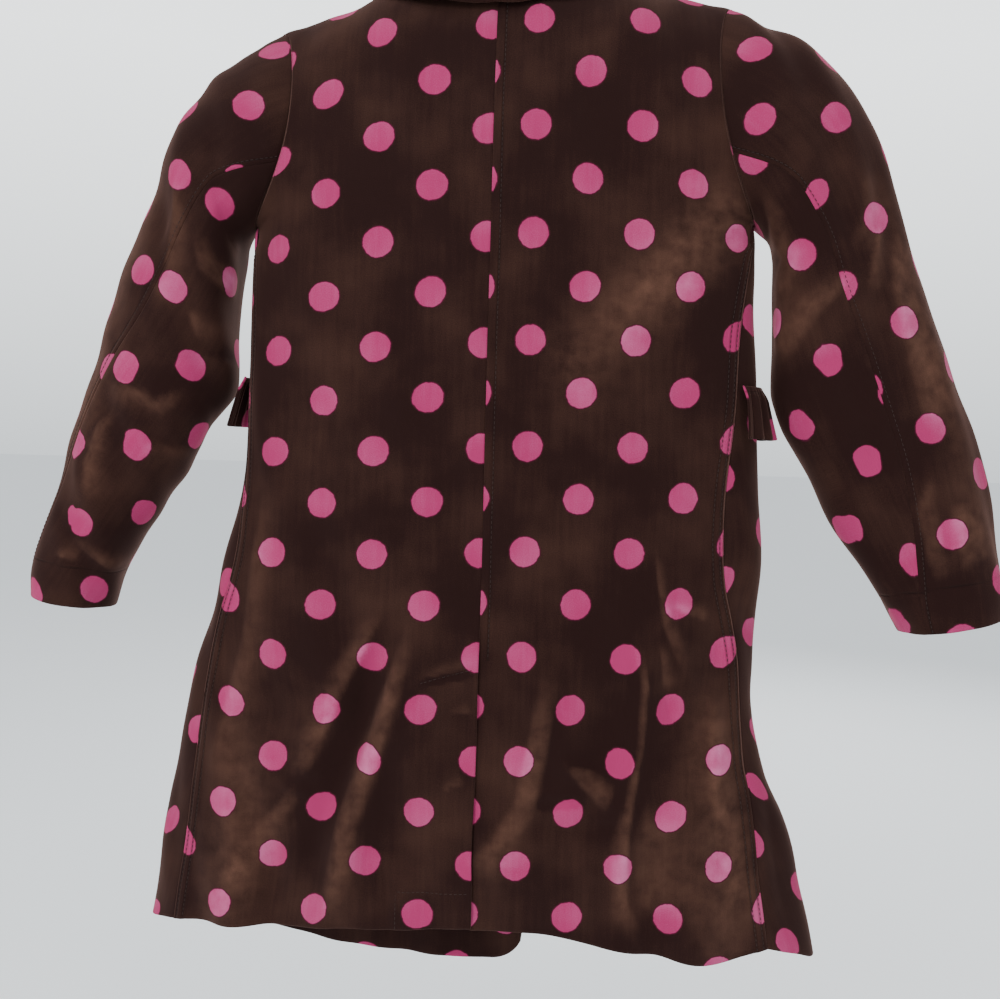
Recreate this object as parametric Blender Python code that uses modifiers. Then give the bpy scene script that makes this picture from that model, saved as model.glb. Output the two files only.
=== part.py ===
"""A child's dress coat on a plain hanger, as closed solids. Metres, +Z up.

The origin is the point where the hanger's hook rests on its rail. The coat's front faces -Y and its
back +Y, and +X is the wearer's left. Heights are written as drops: distances below the origin.
"""

import math

import bmesh
import bpy
import numpy as np

# Cloth
WALL = 0.002
LEAST_COSINE = 0.6  # a slanted cut edge lengthens the wall by no more than 1 / this
SEAM_GAP = 0.0004
LAP_LIFT = 0.0027  # one wall and a little air, where one panel lies over another

# Body: the horizontal sections. Each is a rounded outline about y = 0 with these columns:
# drop, left edge, left seam, right edge, right seam (all |x|), back and front reach (|y|)
SECTION_POWER = 2.4
SECTIONS = np.array(
    [
        (0.090, 0.150, 0.140, 0.150, 0.140, 0.036, 0.030),
        (0.170, 0.155, 0.148, 0.158, 0.150, 0.042, 0.035),
        (0.240, 0.166, 0.1655, 0.170, 0.1695, 0.044, 0.037),
        (0.270, 0.168, 0.1665, 0.172, 0.166, 0.044, 0.037),
        (0.300, 0.169, 0.1665, 0.174, 0.162, 0.044, 0.037),
        (0.360, 0.170, 0.167, 0.176, 0.160, 0.044, 0.036),
        (0.420, 0.174, 0.169, 0.181, 0.155, 0.043, 0.034),
        (0.470, 0.187, 0.173, 0.181, 0.157, 0.043, 0.032),
        (0.510, 0.197, 0.184, 0.182, 0.166, 0.044, 0.030),
        (0.560, 0.209, 0.192, 0.182, 0.171, 0.045, 0.028),
        (0.590, 0.216, 0.195, 0.191, 0.174, 0.046, 0.027),
        (0.620, 0.222, 0.198, 0.207, 0.180, 0.047, 0.026),
        (0.660, 0.226, 0.202, 0.218, 0.185, 0.048, 0.025),
        (0.710, 0.234, 0.209, 0.229, 0.193, 0.049, 0.024),
        (0.760, 0.238, 0.213, 0.236, 0.197, 0.049, 0.024),
    ]
)

# Neck and shoulders
NECK_HALF = 0.058
NECK_DROP = {"left": 0.0813, "right": 0.0767}
TIP_HALF = 0.150
TIP_DROP = {"left": 0.108, "right": 0.096}
BACK_NECK_DROP = 0.097
BACK_NECK_REACH = 0.029
FRONT_NECK_DROP = 0.143
FRONT_NECK_REACH = 0.034
NECK_ROUNDING = 0.022  # drop over which the cloth turns from the neck edge to the body
SHOULDER_ROUNDING = 0.045

# Armholes: scoop is how far the seam curves in from a straight line
PIT_DROP = {"left": 0.240, "right": 0.236}
ARMHOLE_SCOOP = {"left": 0.020, "right": 0.015}
FRONT_SCOOP = 0.020
SCOOP_BENDS = (1.3, 2.0)  # powers of the sine, above and below the widest level
ARMHOLE_BACK = 0.028
ARMHOLE_FRONT = 0.032
ARMHOLE_GAP = 0.0012
PIT_LEAN = 0.38  # how far the armhole's cut edge leans outward at the pit
ARMHOLE_ANGLES = np.radians([0, 13, 32, 55, 75, 95, 115, 135, 155, 180])
BACK_SEAM_AT = 6  # which of those angles the sleeve's back seam starts from
FRONT_SEAM_AT = 7

# Hems: share of the way from the centre (0) to the side seam (1), drop
HEMS = {
    ("left", "back"): [(0, 0.699), (0.17, 0.705), (0.3, 0.706), (0.44, 0.710), (0.75, 0.715), (1, 0.719)],
    ("right", "back"): [(0, 0.701), (0.13, 0.701), (0.35, 0.708), (0.68, 0.716), (0.89, 0.711), (1, 0.708)],
    ("left", "front"): [(0, 0.7545), (0.1, 0.754), (0.25, 0.746), (0.4, 0.738), (0.7, 0.729), (1, 0.719)],
    ("right", "front"): [(0, 0.718), (0.3, 0.720), (0.6, 0.721), (0.8, 0.720), (0.9, 0.714), (1, 0.708)],
}
FRONT_CORNER_RADIUS = 0.024
FRONT_OUTER_SHARES = [0.72, 0.79, 0.86, 0.93, 1]  # a front's columns near its side seam
LAP_PARTS = (1, 0.92, 0.75, 0.45)  # and those of its lap, as parts of the lap's width
BODY_ROWS = 20  # rows of faces between the armhole and the hem

# Centre laps
FRONT_LAP = 0.030
FRONT_LAP_FADE = 0.030
FRONT_LAP_LIFT = 0.0034
LAP_NECK_STEP = 0.003  # the neck edge of a lap is cut this much lower
LAP_NECK_RUN = 0.012
VENT_DROP = 0.525
VENT_WIDTH = 0.038
VENT_FADE = 0.022
VENT_RUN = 0.030
VENT_PARTS = np.array([1.0, 0.67, 0.33])

FOLD_OVERRUN = 0.3  # a fold's ends fade out this far past its line, as a share of its length
FOLD_TAPER = 0.5
# Soft ridges (+) and troughs (-) that stand out of the body:
# face, start x, start drop, end x, end drop, half-width, height. Here x is + on the left half
FOLDS = [
    ("back", 0.069, 0.505, 0.119, 0.614, 0.014, 0.004),
    ("back", 0.043, 0.511, 0.099, 0.720, 0.015, 0.006),
    ("back", 0.062, 0.524, 0.113, 0.677, 0.010, -0.004),
    ("back", 0.160, 0.640, 0.165, 0.730, 0.016, 0.005),
    ("back", 0.135, 0.660, 0.140, 0.730, 0.010, -0.004),
    ("back", -0.043, 0.516, -0.010, 0.656, 0.018, 0.004),
    ("back", -0.108, 0.522, -0.095, 0.650, 0.012, 0.005),
    ("back", -0.085, 0.560, -0.070, 0.640, 0.012, -0.004),
    ("back", -0.140, 0.600, -0.150, 0.730, 0.018, 0.006),
    ("back", -0.118, 0.650, -0.122, 0.730, 0.012, -0.004),
    ("front", 0.150, 0.560, 0.165, 0.740, 0.020, 0.006),
    ("front", 0.095, 0.600, 0.105, 0.750, 0.016, -0.004),
    ("front", -0.140, 0.570, -0.155, 0.740, 0.020, 0.007),
    ("front", -0.090, 0.590, -0.095, 0.730, 0.016, -0.005),
]

# Sleeves: rings from the shoulder to the cuff. Columns: outer |x| and drop, inner |x| and drop,
# back and front reach (|y|), and the angle of the back seam from the outer edge, in degrees
SLEEVE_ROWS = {
    "left": np.array(
        [
            (0.150, 0.108, 0.1655, 0.240, 0.028, 0.032, 115),
            (0.172, 0.122, 0.176, 0.249, 0.039, 0.034, 111),
            (0.194, 0.138, 0.179, 0.259, 0.041, 0.037, 106),
            (0.214, 0.161, 0.179, 0.273, 0.041, 0.039, 100),
            (0.231, 0.196, 0.181, 0.294, 0.041, 0.039, 93),
            (0.249, 0.241, 0.182, 0.319, 0.040, 0.039, 85),
            (0.264, 0.283, 0.184, 0.345, 0.039, 0.038, 74),
            (0.280, 0.330, 0.195, 0.373, 0.037, 0.037, 58),
            (0.294, 0.375, 0.217, 0.407, 0.035, 0.036, 48),
            (0.307, 0.420, 0.238, 0.439, 0.033, 0.035, 45),
            (0.320, 0.456, 0.252, 0.463, 0.031, 0.034, 36),
            (0.327, 0.480, 0.263, 0.486, 0.029, 0.033, 24),
            (0.327, 0.499, 0.271, 0.508, 0.028, 0.032, 16),
        ]
    ),
    "right": np.array(
        [
            (0.150, 0.096, 0.1695, 0.236, 0.028, 0.032, 115),
            (0.176, 0.107, 0.181, 0.246, 0.038, 0.033, 114),
            (0.203, 0.122, 0.184, 0.257, 0.039, 0.035, 112),
            (0.229, 0.151, 0.185, 0.271, 0.038, 0.035, 108),
            (0.251, 0.190, 0.186, 0.291, 0.036, 0.034, 102),
            (0.265, 0.236, 0.186, 0.315, 0.034, 0.032, 96),
            (0.281, 0.275, 0.187, 0.342, 0.031, 0.030, 90),
            (0.301, 0.327, 0.194, 0.371, 0.029, 0.028, 88),
            (0.318, 0.375, 0.213, 0.402, 0.028, 0.027, 92),
            (0.330, 0.415, 0.232, 0.435, 0.028, 0.027, 100),
            (0.336, 0.447, 0.248, 0.460, 0.028, 0.028, 110),
            (0.340, 0.470, 0.262, 0.484, 0.028, 0.028, 121),
            (0.341, 0.487, 0.275, 0.502, 0.028, 0.028, 130),
        ]
    ),
}
SLEEVE_RINGS = 22
NORMAL_STEP = 1e-3  # of a ring's angle and of the sleeve's length, for its normals
LOOP_FADE_ROWS = 2.2  # rows over which the armhole's own curve becomes a plain ring

# Collar: place along the neck from the centre back (0) by the shoulder (0.5) to the front (1),
# height of the stand, length of the fall, direction of the fall in degrees below level, and how
# far the collar's foot stands over the neck edge
COLLAR = np.array(
    [
        (0.00, 0.034, 0.0100, 88, 0.0008),
        (0.25, 0.032, 0.0160, 62, 0.0008),
        (0.42, 0.029, 0.0270, 36, 0.0008),
        (0.50, 0.027, 0.0330, 20, 0.0008),
        (0.60, 0.023, 0.0380, 26, 0.0008),
        (0.75, 0.017, 0.0420, 46, 0.0010),
        (0.90, 0.011, 0.0430, 72, 0.0014),
        (1.00, 0.008, 0.0430, 84, 0.0020),
    ]
)
COLLAR_END_GAP = 0.005
COLLAR_CORNER = 0.016
COLLAR_CORNER_DEPTH = 0.0096  # how much shorter the fall is at its very ends
COLLAR_ROLL = 0.0045
COLLAR_ROLL_RISE = 0.00225
COLLAR_CURVE = 1.5
COLLAR_CLEAR = 0.0030
COLLAR_INSIDE = 0.0016
COLLAR_STAND_ROWS = 3
COLLAR_SEAM_GAP = 0.0012
COLLAR_FALL_ROWS = 6

# Gathered pocket flaps on the fronts, from just in front of the side seam
FLAP_DROP = 0.343
FLAP_DEPTH = 0.034
FLAP_START = {"left": 0.985, "right": 0.985}  # shares of the way from centre front to seam
FLAP_END = 0.50
FLAP_GATHERS = 8
FLAP_COLUMNS = 33
FLAP_ROWS = 4
FLAP_FLARE = 0.0085
FLAP_WAVE = 0.0022
FLAP_TOP_WAVE = 0.0006
FLAP_LEAST_FLARE = 0.6  # share of the flare that is left at the front end
FLAP_LEAN = 0.3

# Buttons on the right front
BUTTON_DROPS = [0.190, 0.262, 0.334, 0.406]
BUTTON_RADIUS = 0.0105
BUTTON_THICKNESS = 0.0036
BUTTON_SIDES = 24
BUTTON_EDGE = 0.0009

# Hanger
HOOK_RADIUS = 0.0205  # to the middle of the rod
HOOK_ROD = 0.0027
HOOK_OPEN_DEGREES = 62
ARM_HALF_THICKNESS = 0.0055
ARM_EDGE = 0.0015
ARM_CLEAR = 0.0010
ARM_NECK_DIP = 0.0036
ARM_RISE_HALF = 0.048  # half-width of the arms' raised middle
ARM_END = 0.134
ARM_DEPTH_MIDDLE = 0.030
ARM_DEPTH_END = 0.016
ARM_TOP_DROP = 0.068
ARM_POINTS = 12
ARM_END_POWER = 16  # how squarely the arms' ends are rounded
ARM_END_LEAST = 0.3  # share of the depth that is left at the very end
ARM_END_RISE = 0.4
HOOK_POINTS = 19
STEM_POINTS = 6
STEM_TURN_DEGREES = 262
STEM_START = 1.35  # in hook radii below the hook's centre

SHARP_ANGLE = math.radians(50)
WELD_DISTANCE = 1e-5
SIDES = {"left": 1, "right": -1}
FACES = {"back": 1, "front": -1}


# ---------------------------------------------------------------- curves


def smooth(t):
    """0 below 0, 1 above 1, and a soft step between."""
    t = np.clip(t, 0, 1)
    return t * t * (3 - 2 * t)


def through(x, knots, values):
    """A smooth curve through the values: cubic pieces that share the mean slope at each knot."""
    knots = np.asarray(knots, float)
    values = np.asarray(values, float)
    slopes = np.gradient(values, knots)
    i = np.clip(np.searchsorted(knots, x) - 1, 0, len(knots) - 2)
    width = knots[i + 1] - knots[i]
    t = np.clip((x - knots[i]) / width, 0, 1)
    start = (1 + 2 * t) * (1 - t) ** 2 * values[i] + t * (1 - t) ** 2 * width * slopes[i]
    end = t * t * (3 - 2 * t) * values[i + 1] + t * t * (t - 1) * width * slopes[i + 1]
    return start + end


def signed_power(value, power):
    return np.sign(value) * np.abs(value) ** power


def unit(vectors):
    return vectors / np.maximum(np.linalg.norm(vectors, axis=-1, keepdims=True), 1e-9)


# ---------------------------------------------------------------- body


def section(side, drop):
    """Edge and seam |x|, back and front reach of the body's section at a drop."""
    edge = {"left": 1, "right": 3}[side]
    columns = (edge, edge + 1, 5, 6)
    return [through(drop, SECTIONS[:, 0], SECTIONS[:, column]) for column in columns]


def reaches(face, drop):
    """How far the body reaches toward this face and toward the other one."""
    back, front = [through(drop, SECTIONS[:, 0], SECTIONS[:, column]) for column in (5, 6)]
    return (back, front) if face == "back" else (front, back)


def seam_y(side, drop):
    """The side seam lies on the section, behind its widest point."""
    edge, seam, back, _ = section(side, drop)
    return back * (1 - (seam / edge) ** SECTION_POWER) ** (1 / SECTION_POWER)


def armhole(side, angle):
    """Points of the armhole, from the shoulder tip (0) round by the back (+) or front (-) to the pit."""
    down = (1 - np.cos(angle)) / 2
    drop = TIP_DROP[side] + (PIT_DROP[side] - TIP_DROP[side]) * down
    behind = np.sin(angle) >= 0
    bend = np.where(np.cos(angle) > 0, SCOOP_BENDS[0], SCOOP_BENDS[1])
    scoop = np.where(behind, ARMHOLE_SCOOP[side], FRONT_SCOOP) * np.abs(np.sin(angle)) ** bend
    pit = section(side, PIT_DROP[side])[1]
    x = TIP_HALF + (pit - TIP_HALF) * down - scoop
    reach = np.where(behind, ARMHOLE_BACK, ARMHOLE_FRONT)
    y = seam_y(side, PIT_DROP[side]) * down + reach * np.sin(angle)
    return np.stack([SIDES[side] * x, y, -drop], axis=-1)


def armhole_mitre(side, angle):
    """Direction of the cut edge that the body and the sleeve share round the armhole."""
    pit = np.clip(-np.cos(angle), 0, 1) ** 2
    vectors = np.stack([SIDES[side] * PIT_LEAN * pit, np.sin(angle), np.cos(angle)], axis=-1)
    return unit(vectors)


def rows_of(side, face):
    """One entry for each row of a panel: share of the way down, edge point and section size."""
    hem_end = HEMS[side, face][-1][1]
    to_pit = (PIT_DROP[side] - TIP_DROP[side]) / (hem_end - TIP_DROP[side])
    above = (1 - np.cos(ARMHOLE_ANGLES)) / 2 * to_pit
    below = to_pit + (1 - to_pit) * np.arange(1, BODY_ROWS + 1) / BODY_ROWS
    down = np.concatenate([above, below])
    drop = TIP_DROP[side] + (hem_end - TIP_DROP[side]) * down
    seam = section(side, drop)[1]
    near, far = reaches(face, drop)
    count = len(ARMHOLE_ANGLES)
    loop = armhole(side, ARMHOLE_ANGLES * FACES[face])
    edge_x = np.concatenate([np.abs(loop[:, 0]), seam[count:]])
    edge_y = np.concatenate([loop[:, 1], seam_y(side, drop)[count:]])
    toward = edge_y * FACES[face]
    cosine = signed_power(toward / np.where(toward > 0, near, far), SECTION_POWER / 2)
    angle = np.arccos(np.clip(cosine, -1, 1))
    width = edge_x / np.sin(angle) ** (2 / SECTION_POWER)
    return {"down": down, "angle": angle, "width": width}


def share_at(x, row_width, row_angle):
    """The share whose point lies at x from the centre."""
    sine = signed_power(x / row_width, SECTION_POWER / 2)
    return np.arcsin(np.clip(sine, -1, 1)) / row_angle


def top_edge(side, face, share, neck_share, x):
    """Drop and y of the neck edge and shoulder seam above a column."""
    neck_drop, reach = (BACK_NECK_DROP, BACK_NECK_REACH)
    if face == "front":
        neck_drop, reach = (FRONT_NECK_DROP, FRONT_NECK_REACH)
    round_neck = np.cos(math.pi / 2 * np.clip(share / neck_share, 0, 1))
    along = np.clip((np.abs(x) - NECK_HALF) / (TIP_HALF - NECK_HALF), 0, 1)
    shoulder = NECK_DROP[side] + (TIP_DROP[side] - NECK_DROP[side]) * along
    neck = NECK_DROP[side] + (neck_drop - NECK_DROP[side]) * round_neck**2
    neck = neck + LAP_NECK_STEP * smooth(-x / LAP_NECK_RUN)
    drop = np.where(share < neck_share, neck, shoulder)
    return drop, np.where(share < neck_share, FACES[face] * reach * round_neck, 0.0)


def hem_drop(side, face, share):
    """Drop of the hem at a share of the way to the side seam."""
    table = np.array(HEMS[side, face], float)
    return through(np.clip(share, 0, 1), table[:, 0], table[:, 1])


def fold_height(face, x, drop):
    """Height of the folds at a place, each a soft ridge along a line with tapered ends."""
    height = np.zeros(np.broadcast(x, drop).shape)
    for fold_face, x0, d0, x1, d1, half_width, rise in FOLDS:
        if fold_face != face:
            continue
        along_x, along_d = x1 - x0, d1 - d0
        length = math.hypot(along_x, along_d)
        place = ((x - x0) * along_x + (drop - d0) * along_d) / length**2
        aside = ((x - x0) * along_d - (drop - d0) * along_x) / length
        start = smooth((place + FOLD_OVERRUN) / FOLD_TAPER)
        end = smooth((1 + FOLD_OVERRUN - place) / FOLD_TAPER)
        height += rise * start * end * np.exp(-((aside / half_width) ** 2))
    return height


def body_surface(side, face, shares):
    """Outer points of a panel: a row of the section for each drop, a column for each share."""
    rows = {name: values[:, None] for name, values in rows_of(side, face).items()}
    neck_share = share_at(NECK_HALF, rows["width"][0], rows["angle"][0])
    angle = rows["angle"] * shares
    x = rows["width"] * signed_power(np.sin(angle), 2 / SECTION_POWER)
    top_drop, top_y = top_edge(side, face, shares, neck_share, x)
    if face == "back":
        bottom = hem_drop(side, face, shares)
    else:
        bottom = hem_drop(side, face, shares) - corner_lift(x)
    drop = top_drop + (bottom - top_drop) * rows["down"]
    near, far = reaches(face, drop)
    reach = np.where(np.cos(angle) > 0, near, far)
    y = FACES[face] * reach * signed_power(np.cos(angle), 2 / SECTION_POWER)
    rounding = NECK_ROUNDING + (SHOULDER_ROUNDING - NECK_ROUNDING) * smooth(shares / neck_share)
    part = np.clip((drop - top_drop) / rounding, 0, 1)
    y = top_y + (y - top_y) * np.sqrt(1 - (1 - part) ** 2)
    return np.stack([SIDES[side] * x, y, -drop], axis=-1)


def corner_lift(x):
    """The hem rises in a quarter circle toward the front edge."""
    inside = np.clip(x + FRONT_LAP, 0, FRONT_CORNER_RADIUS)
    return FRONT_CORNER_RADIUS - np.sqrt(FRONT_CORNER_RADIUS**2 - (FRONT_CORNER_RADIUS - inside) ** 2)


def normals_of(points, sign):
    """Outward normals of a grid, from its neighbours along and across."""
    along = np.gradient(points, axis=1)
    down = np.gradient(points, axis=0)
    return unit(np.cross(along, down) * sign)


def back_columns(side):
    """Shares of a back panel's columns, with one at the neck point."""
    rows = rows_of(side, "back")
    neck = float(share_at(NECK_HALF, rows["width"][0], rows["angle"][0]))
    return np.concatenate([np.linspace(0, neck, 5), np.linspace(neck, 1, 9)[1:]])


def front_columns(side):
    """Shares of a front panel's columns: each row has its own shares past the centre."""
    rows = rows_of(side, "front")
    neck = float(share_at(NECK_HALF, rows["width"][0], rows["angle"][0]))
    middle = np.linspace(neck, FRONT_OUTER_SHARES[0], 5)[1:-1]
    inner = np.concatenate([np.linspace(0, neck, 6), middle, FRONT_OUTER_SHARES])
    lap = [share_at(-FRONT_LAP * part, rows["width"], rows["angle"]) for part in LAP_PARTS]
    inner = np.broadcast_to(inner, (len(rows["down"]), len(inner)))
    return np.concatenate([np.stack(lap, axis=1), inner], axis=1), neck


def pulled_back(outer, inner, edge, beside, gap):
    """Moves one edge of a wall toward the column or row beside it, by half a seam's gap."""
    step = unit(outer[beside] - outer[edge]) * gap / 2
    outer[edge] += step
    inner[edge] += step


def panel(side, face):
    """Outer and inner points of a back or front panel."""
    if face == "back":
        shares = back_columns(side)[None, :]
        neck = shares[0, 4]
    else:
        shares, neck = front_columns(side)
    outer = body_surface(side, face, shares)
    normals = normals_of(outer, SIDES[side] * FACES[face])
    x = outer[..., 0] * SIDES[side]
    drop = -outer[..., 2]
    outer += normals * fold_height(face, outer[..., 0], drop)[..., None]
    lift = lap_lift(side, face, x, drop)
    outer += normals_of(outer, SIDES[side] * FACES[face]) * lift[..., None]
    normals = normals_of(outer, SIDES[side] * FACES[face])
    own = normals.copy()
    shoulder = np.broadcast_to(shares, outer.shape[:2])[0] >= neck - 1e-6
    normals[0, shoulder, 1] = 0
    normals[0, ~shoulder, 0] = 0
    if face == "back":
        normals[drop[:, 0] < VENT_DROP, 0, 0] = 0
    count = len(ARMHOLE_ANGLES)
    normals[count:, -1] = seam_normal(side, -outer[count:, -1, 2])
    normals[:count, -1] = armhole_mitre(side, ARMHOLE_ANGLES * FACES[face])
    normals = unit(normals)
    stretch = 1 / np.maximum((normals * own).sum(axis=-1, keepdims=True), LEAST_COSINE)
    inner = outer - normals * WALL * stretch
    every, loop, below = slice(None), slice(0, count), slice(count, None)
    pulled_back(outer, inner, (loop, -1), (loop, -2), ARMHOLE_GAP)
    pulled_back(outer, inner, (below, -1), (below, -2), SEAM_GAP)
    pulled_back(outer, inner, (0, shoulder), (1, shoulder), SEAM_GAP)
    if face == "back":
        pulled_back(outer, inner, (every, 0), (every, 1), SEAM_GAP)
    return outer, inner


def seam_normal(side, drop):
    """Level normal of the section at the side seam, the same for both panels that meet there."""
    edge, seam, back, _ = section(side, drop)
    y = seam_y(side, drop)
    across = (seam / edge) ** (SECTION_POWER - 1) / edge
    out = (y / back) ** (SECTION_POWER - 1) / back
    return unit(np.stack([SIDES[side] * across, out, np.zeros_like(drop)], axis=-1))


def lap_lift(side, face, x, drop):
    """How far a panel stands off, where it lies over or under its neighbour at the centre."""
    if (side, face) == ("left", "back"):
        across = smooth((VENT_WIDTH + VENT_FADE - x) / VENT_FADE)
        return LAP_LIFT * across * smooth((drop - VENT_DROP + VENT_RUN) / VENT_RUN)
    if (side, face) == ("left", "front"):
        return -FRONT_LAP_LIFT * smooth((FRONT_LAP + FRONT_LAP_FADE - x) / FRONT_LAP_FADE)
    return np.zeros(np.shape(x))


# ---------------------------------------------------------------- solids


def closed_wall(name, outer, inner, keep=None):
    """A closed wall between two grids of points, over the cells that keep marks."""
    rows, columns = outer.shape[:2]
    if keep is None:
        keep = np.ones((rows - 1, columns - 1), bool)
    index = np.arange(rows * columns).reshape(rows, columns)
    row, column = np.nonzero(keep)
    corners = [(row, column), (row + 1, column), (row + 1, column + 1), (row, column + 1)]
    cells = np.stack([index[corner] for corner in corners], axis=1)
    edges = np.concatenate([cells[:, [i, (i + 1) % 4]] for i in range(4)])
    one_way = {tuple(edge) for edge in edges.tolist()}
    rim = np.array([edge for edge in edges.tolist() if (edge[1], edge[0]) not in one_way])
    offset = rows * columns
    sides = np.stack([rim[:, 1], rim[:, 0], rim[:, 0] + offset, rim[:, 1] + offset], axis=1)
    faces = np.concatenate([cells, cells[:, ::-1] + offset, sides])
    points = np.concatenate([outer.reshape(-1, 3), inner.reshape(-1, 3)])
    used, faces = np.unique(faces, return_inverse=True)
    faces = faces.reshape(-1, 4)
    mesh = bpy.data.meshes.new(name)
    mesh.from_pydata(points[used].tolist(), [], faces.tolist())
    made = bmesh.new()
    made.from_mesh(mesh)
    bmesh.ops.recalc_face_normals(made, faces=made.faces)
    made.to_mesh(mesh)
    made.free()
    mesh.shade_smooth()
    mesh.set_sharp_from_angle(angle=SHARP_ANGLE)
    return add_piece(name, mesh)


def add_piece(name, mesh):
    piece = bpy.data.objects.new(name, mesh)
    coat.objects.link(piece)
    return piece


# ---------------------------------------------------------------- panels


def build_back_left():
    outer, inner = panel("left", "back")
    return closed_wall("back_left", outer, inner)


def build_back_right():
    """The right back, with the vent's under lap as extra columns past the centre."""
    outer, inner = panel("right", "back")
    vent_rows = -outer[:, 0, 2] >= VENT_DROP
    rows = {name: values[:, None] for name, values in rows_of("right", "back").items()}
    places = -VENT_WIDTH * VENT_PARTS[None, :]
    shares = share_at(places, rows["width"], rows["angle"])
    lap = body_surface("right", "back", shares)
    lap[..., 2] = outer[:, :1, 2]
    normals = normals_of(lap, -1)
    lap += normals * fold_height("back", lap[..., 0], -lap[..., 2])[..., None]
    outer = np.concatenate([lap, outer], axis=1)
    inner = np.concatenate([lap - normals * WALL, inner], axis=1)
    keep = np.ones((outer.shape[0] - 1, outer.shape[1] - 1), bool)
    keep[: int(np.argmax(vent_rows)), : places.shape[1]] = False
    return closed_wall("back_right", outer, inner, keep)


def build_front(side):
    outer, inner = panel(side, "front")
    return closed_wall("front_" + side, outer, inner)


# ---------------------------------------------------------------- sleeves


def sleeve_point(side, place, angle):
    """Outer points of a sleeve: rings about its length, from the armhole (0) to the cuff (1)."""
    table = SLEEVE_ROWS[side]
    knots = np.arange(len(table), dtype=float)
    at = place * knots[-1]
    out_x, out_drop, in_x, in_drop, back, front, _ = [
        through(at, knots, table[:, column]) for column in range(table.shape[1])
    ]
    across = (1 - np.cos(angle)) / 2
    x = out_x + (in_x - out_x) * across
    drop = out_drop + (in_drop - out_drop) * across
    y = np.where(np.sin(angle) >= 0, back, front) * np.sin(angle)
    ring = np.stack([SIDES[side] * x, y, -drop], axis=-1)
    start = table[0]
    plain = np.stack(
        [
            SIDES[side] * (start[0] + (start[2] - start[0]) * across),
            np.where(np.sin(angle) >= 0, start[4], start[5]) * np.sin(angle),
            -(start[1] + (start[3] - start[1]) * across),
        ],
        axis=-1,
    )
    fade = 1 - smooth(at / LOOP_FADE_ROWS)
    return ring + (armhole(side, angle) - plain) * fade[..., None]


def sleeve_angles(side, place, piece):
    """Ring angles of an upper or under sleeve, whose back seam wanders along the table."""
    table = SLEEVE_ROWS[side]
    at = place * (len(table) - 1)
    seam = np.radians(through(at, np.arange(len(table)), table[:, 6]))
    loop = ARMHOLE_ANGLES
    start, front = loop[BACK_SEAM_AT], -loop[FRONT_SEAM_AT]
    if piece == "upper":
        ring = np.concatenate([-loop[FRONT_SEAM_AT:0:-1], loop[: BACK_SEAM_AT + 1]])
        return front + (ring - front) * (seam - front) / (start - front)
    ring = np.concatenate([loop[BACK_SEAM_AT:], 2 * math.pi - loop[-2 : FRONT_SEAM_AT - 1 : -1]])
    end = 2 * math.pi + front
    return seam + (ring - start) * (end - seam) / (end - start)


def build_sleeve(side, piece):
    """One piece of a sleeve; its wall goes inward along the ring's own normals."""
    angle = sleeve_angles(side, np.linspace(0, 1, SLEEVE_RINGS)[:, None], piece)
    place = np.broadcast_to(np.linspace(0, 1, SLEEVE_RINGS)[:, None], angle.shape)
    outer = sleeve_point(side, place, angle)
    along = sleeve_point(side, place, angle + NORMAL_STEP) - sleeve_point(side, place, angle - NORMAL_STEP)
    above = np.clip(place - NORMAL_STEP, 0, 1)
    below = np.clip(place + NORMAL_STEP, 0, 1)
    down = sleeve_point(side, below, angle) - sleeve_point(side, above, angle)
    own = unit(np.cross(down, along) * SIDES[side])
    normals = own.copy()
    normals[0] = armhole_mitre(side, angle[0])
    stretch = 1 / np.maximum((normals * own).sum(axis=-1, keepdims=True), LEAST_COSINE)
    inner = outer - normals * WALL * stretch
    pulled_back(outer, inner, 0, 1, ARMHOLE_GAP)
    every = slice(None)
    pulled_back(outer, inner, (every, 0), (every, 1), SEAM_GAP)
    pulled_back(outer, inner, (every, -1), (every, -2), SEAM_GAP)
    return closed_wall(f"sleeve_{side}_{piece}", outer, inner)


# ---------------------------------------------------------------- collar


def body_y(side, face, x, drop):
    """The body's own y at a place seen from the front or back, and the tilt of its surface there."""
    rows = rows_of(side, face)
    neck = float(share_at(NECK_HALF, rows["width"][0], rows["angle"][0]))
    share = share_at(x, rows["width"][0], rows["angle"][0])
    top_drop, top_y = top_edge(side, face, share, neck, x)
    down = (drop - top_drop) / (hem_drop(side, face, share) - top_drop)
    width, angle = [np.interp(down, rows["down"], rows[name]) for name in ("width", "angle")]
    near = reaches(face, drop)[0]
    cosine = np.cos(share_at(x, width, angle) * angle)
    level = FACES[face] * near * signed_power(cosine, 2 / SECTION_POWER)
    rounding = NECK_ROUNDING + (SHOULDER_ROUNDING - NECK_ROUNDING) * smooth(share / neck)
    part = np.clip((drop - top_drop) / rounding, 0, 1)
    return top_y + (level - top_y) * np.sqrt(1 - (1 - part) ** 2), np.arccos(1 - part), top_drop


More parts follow.
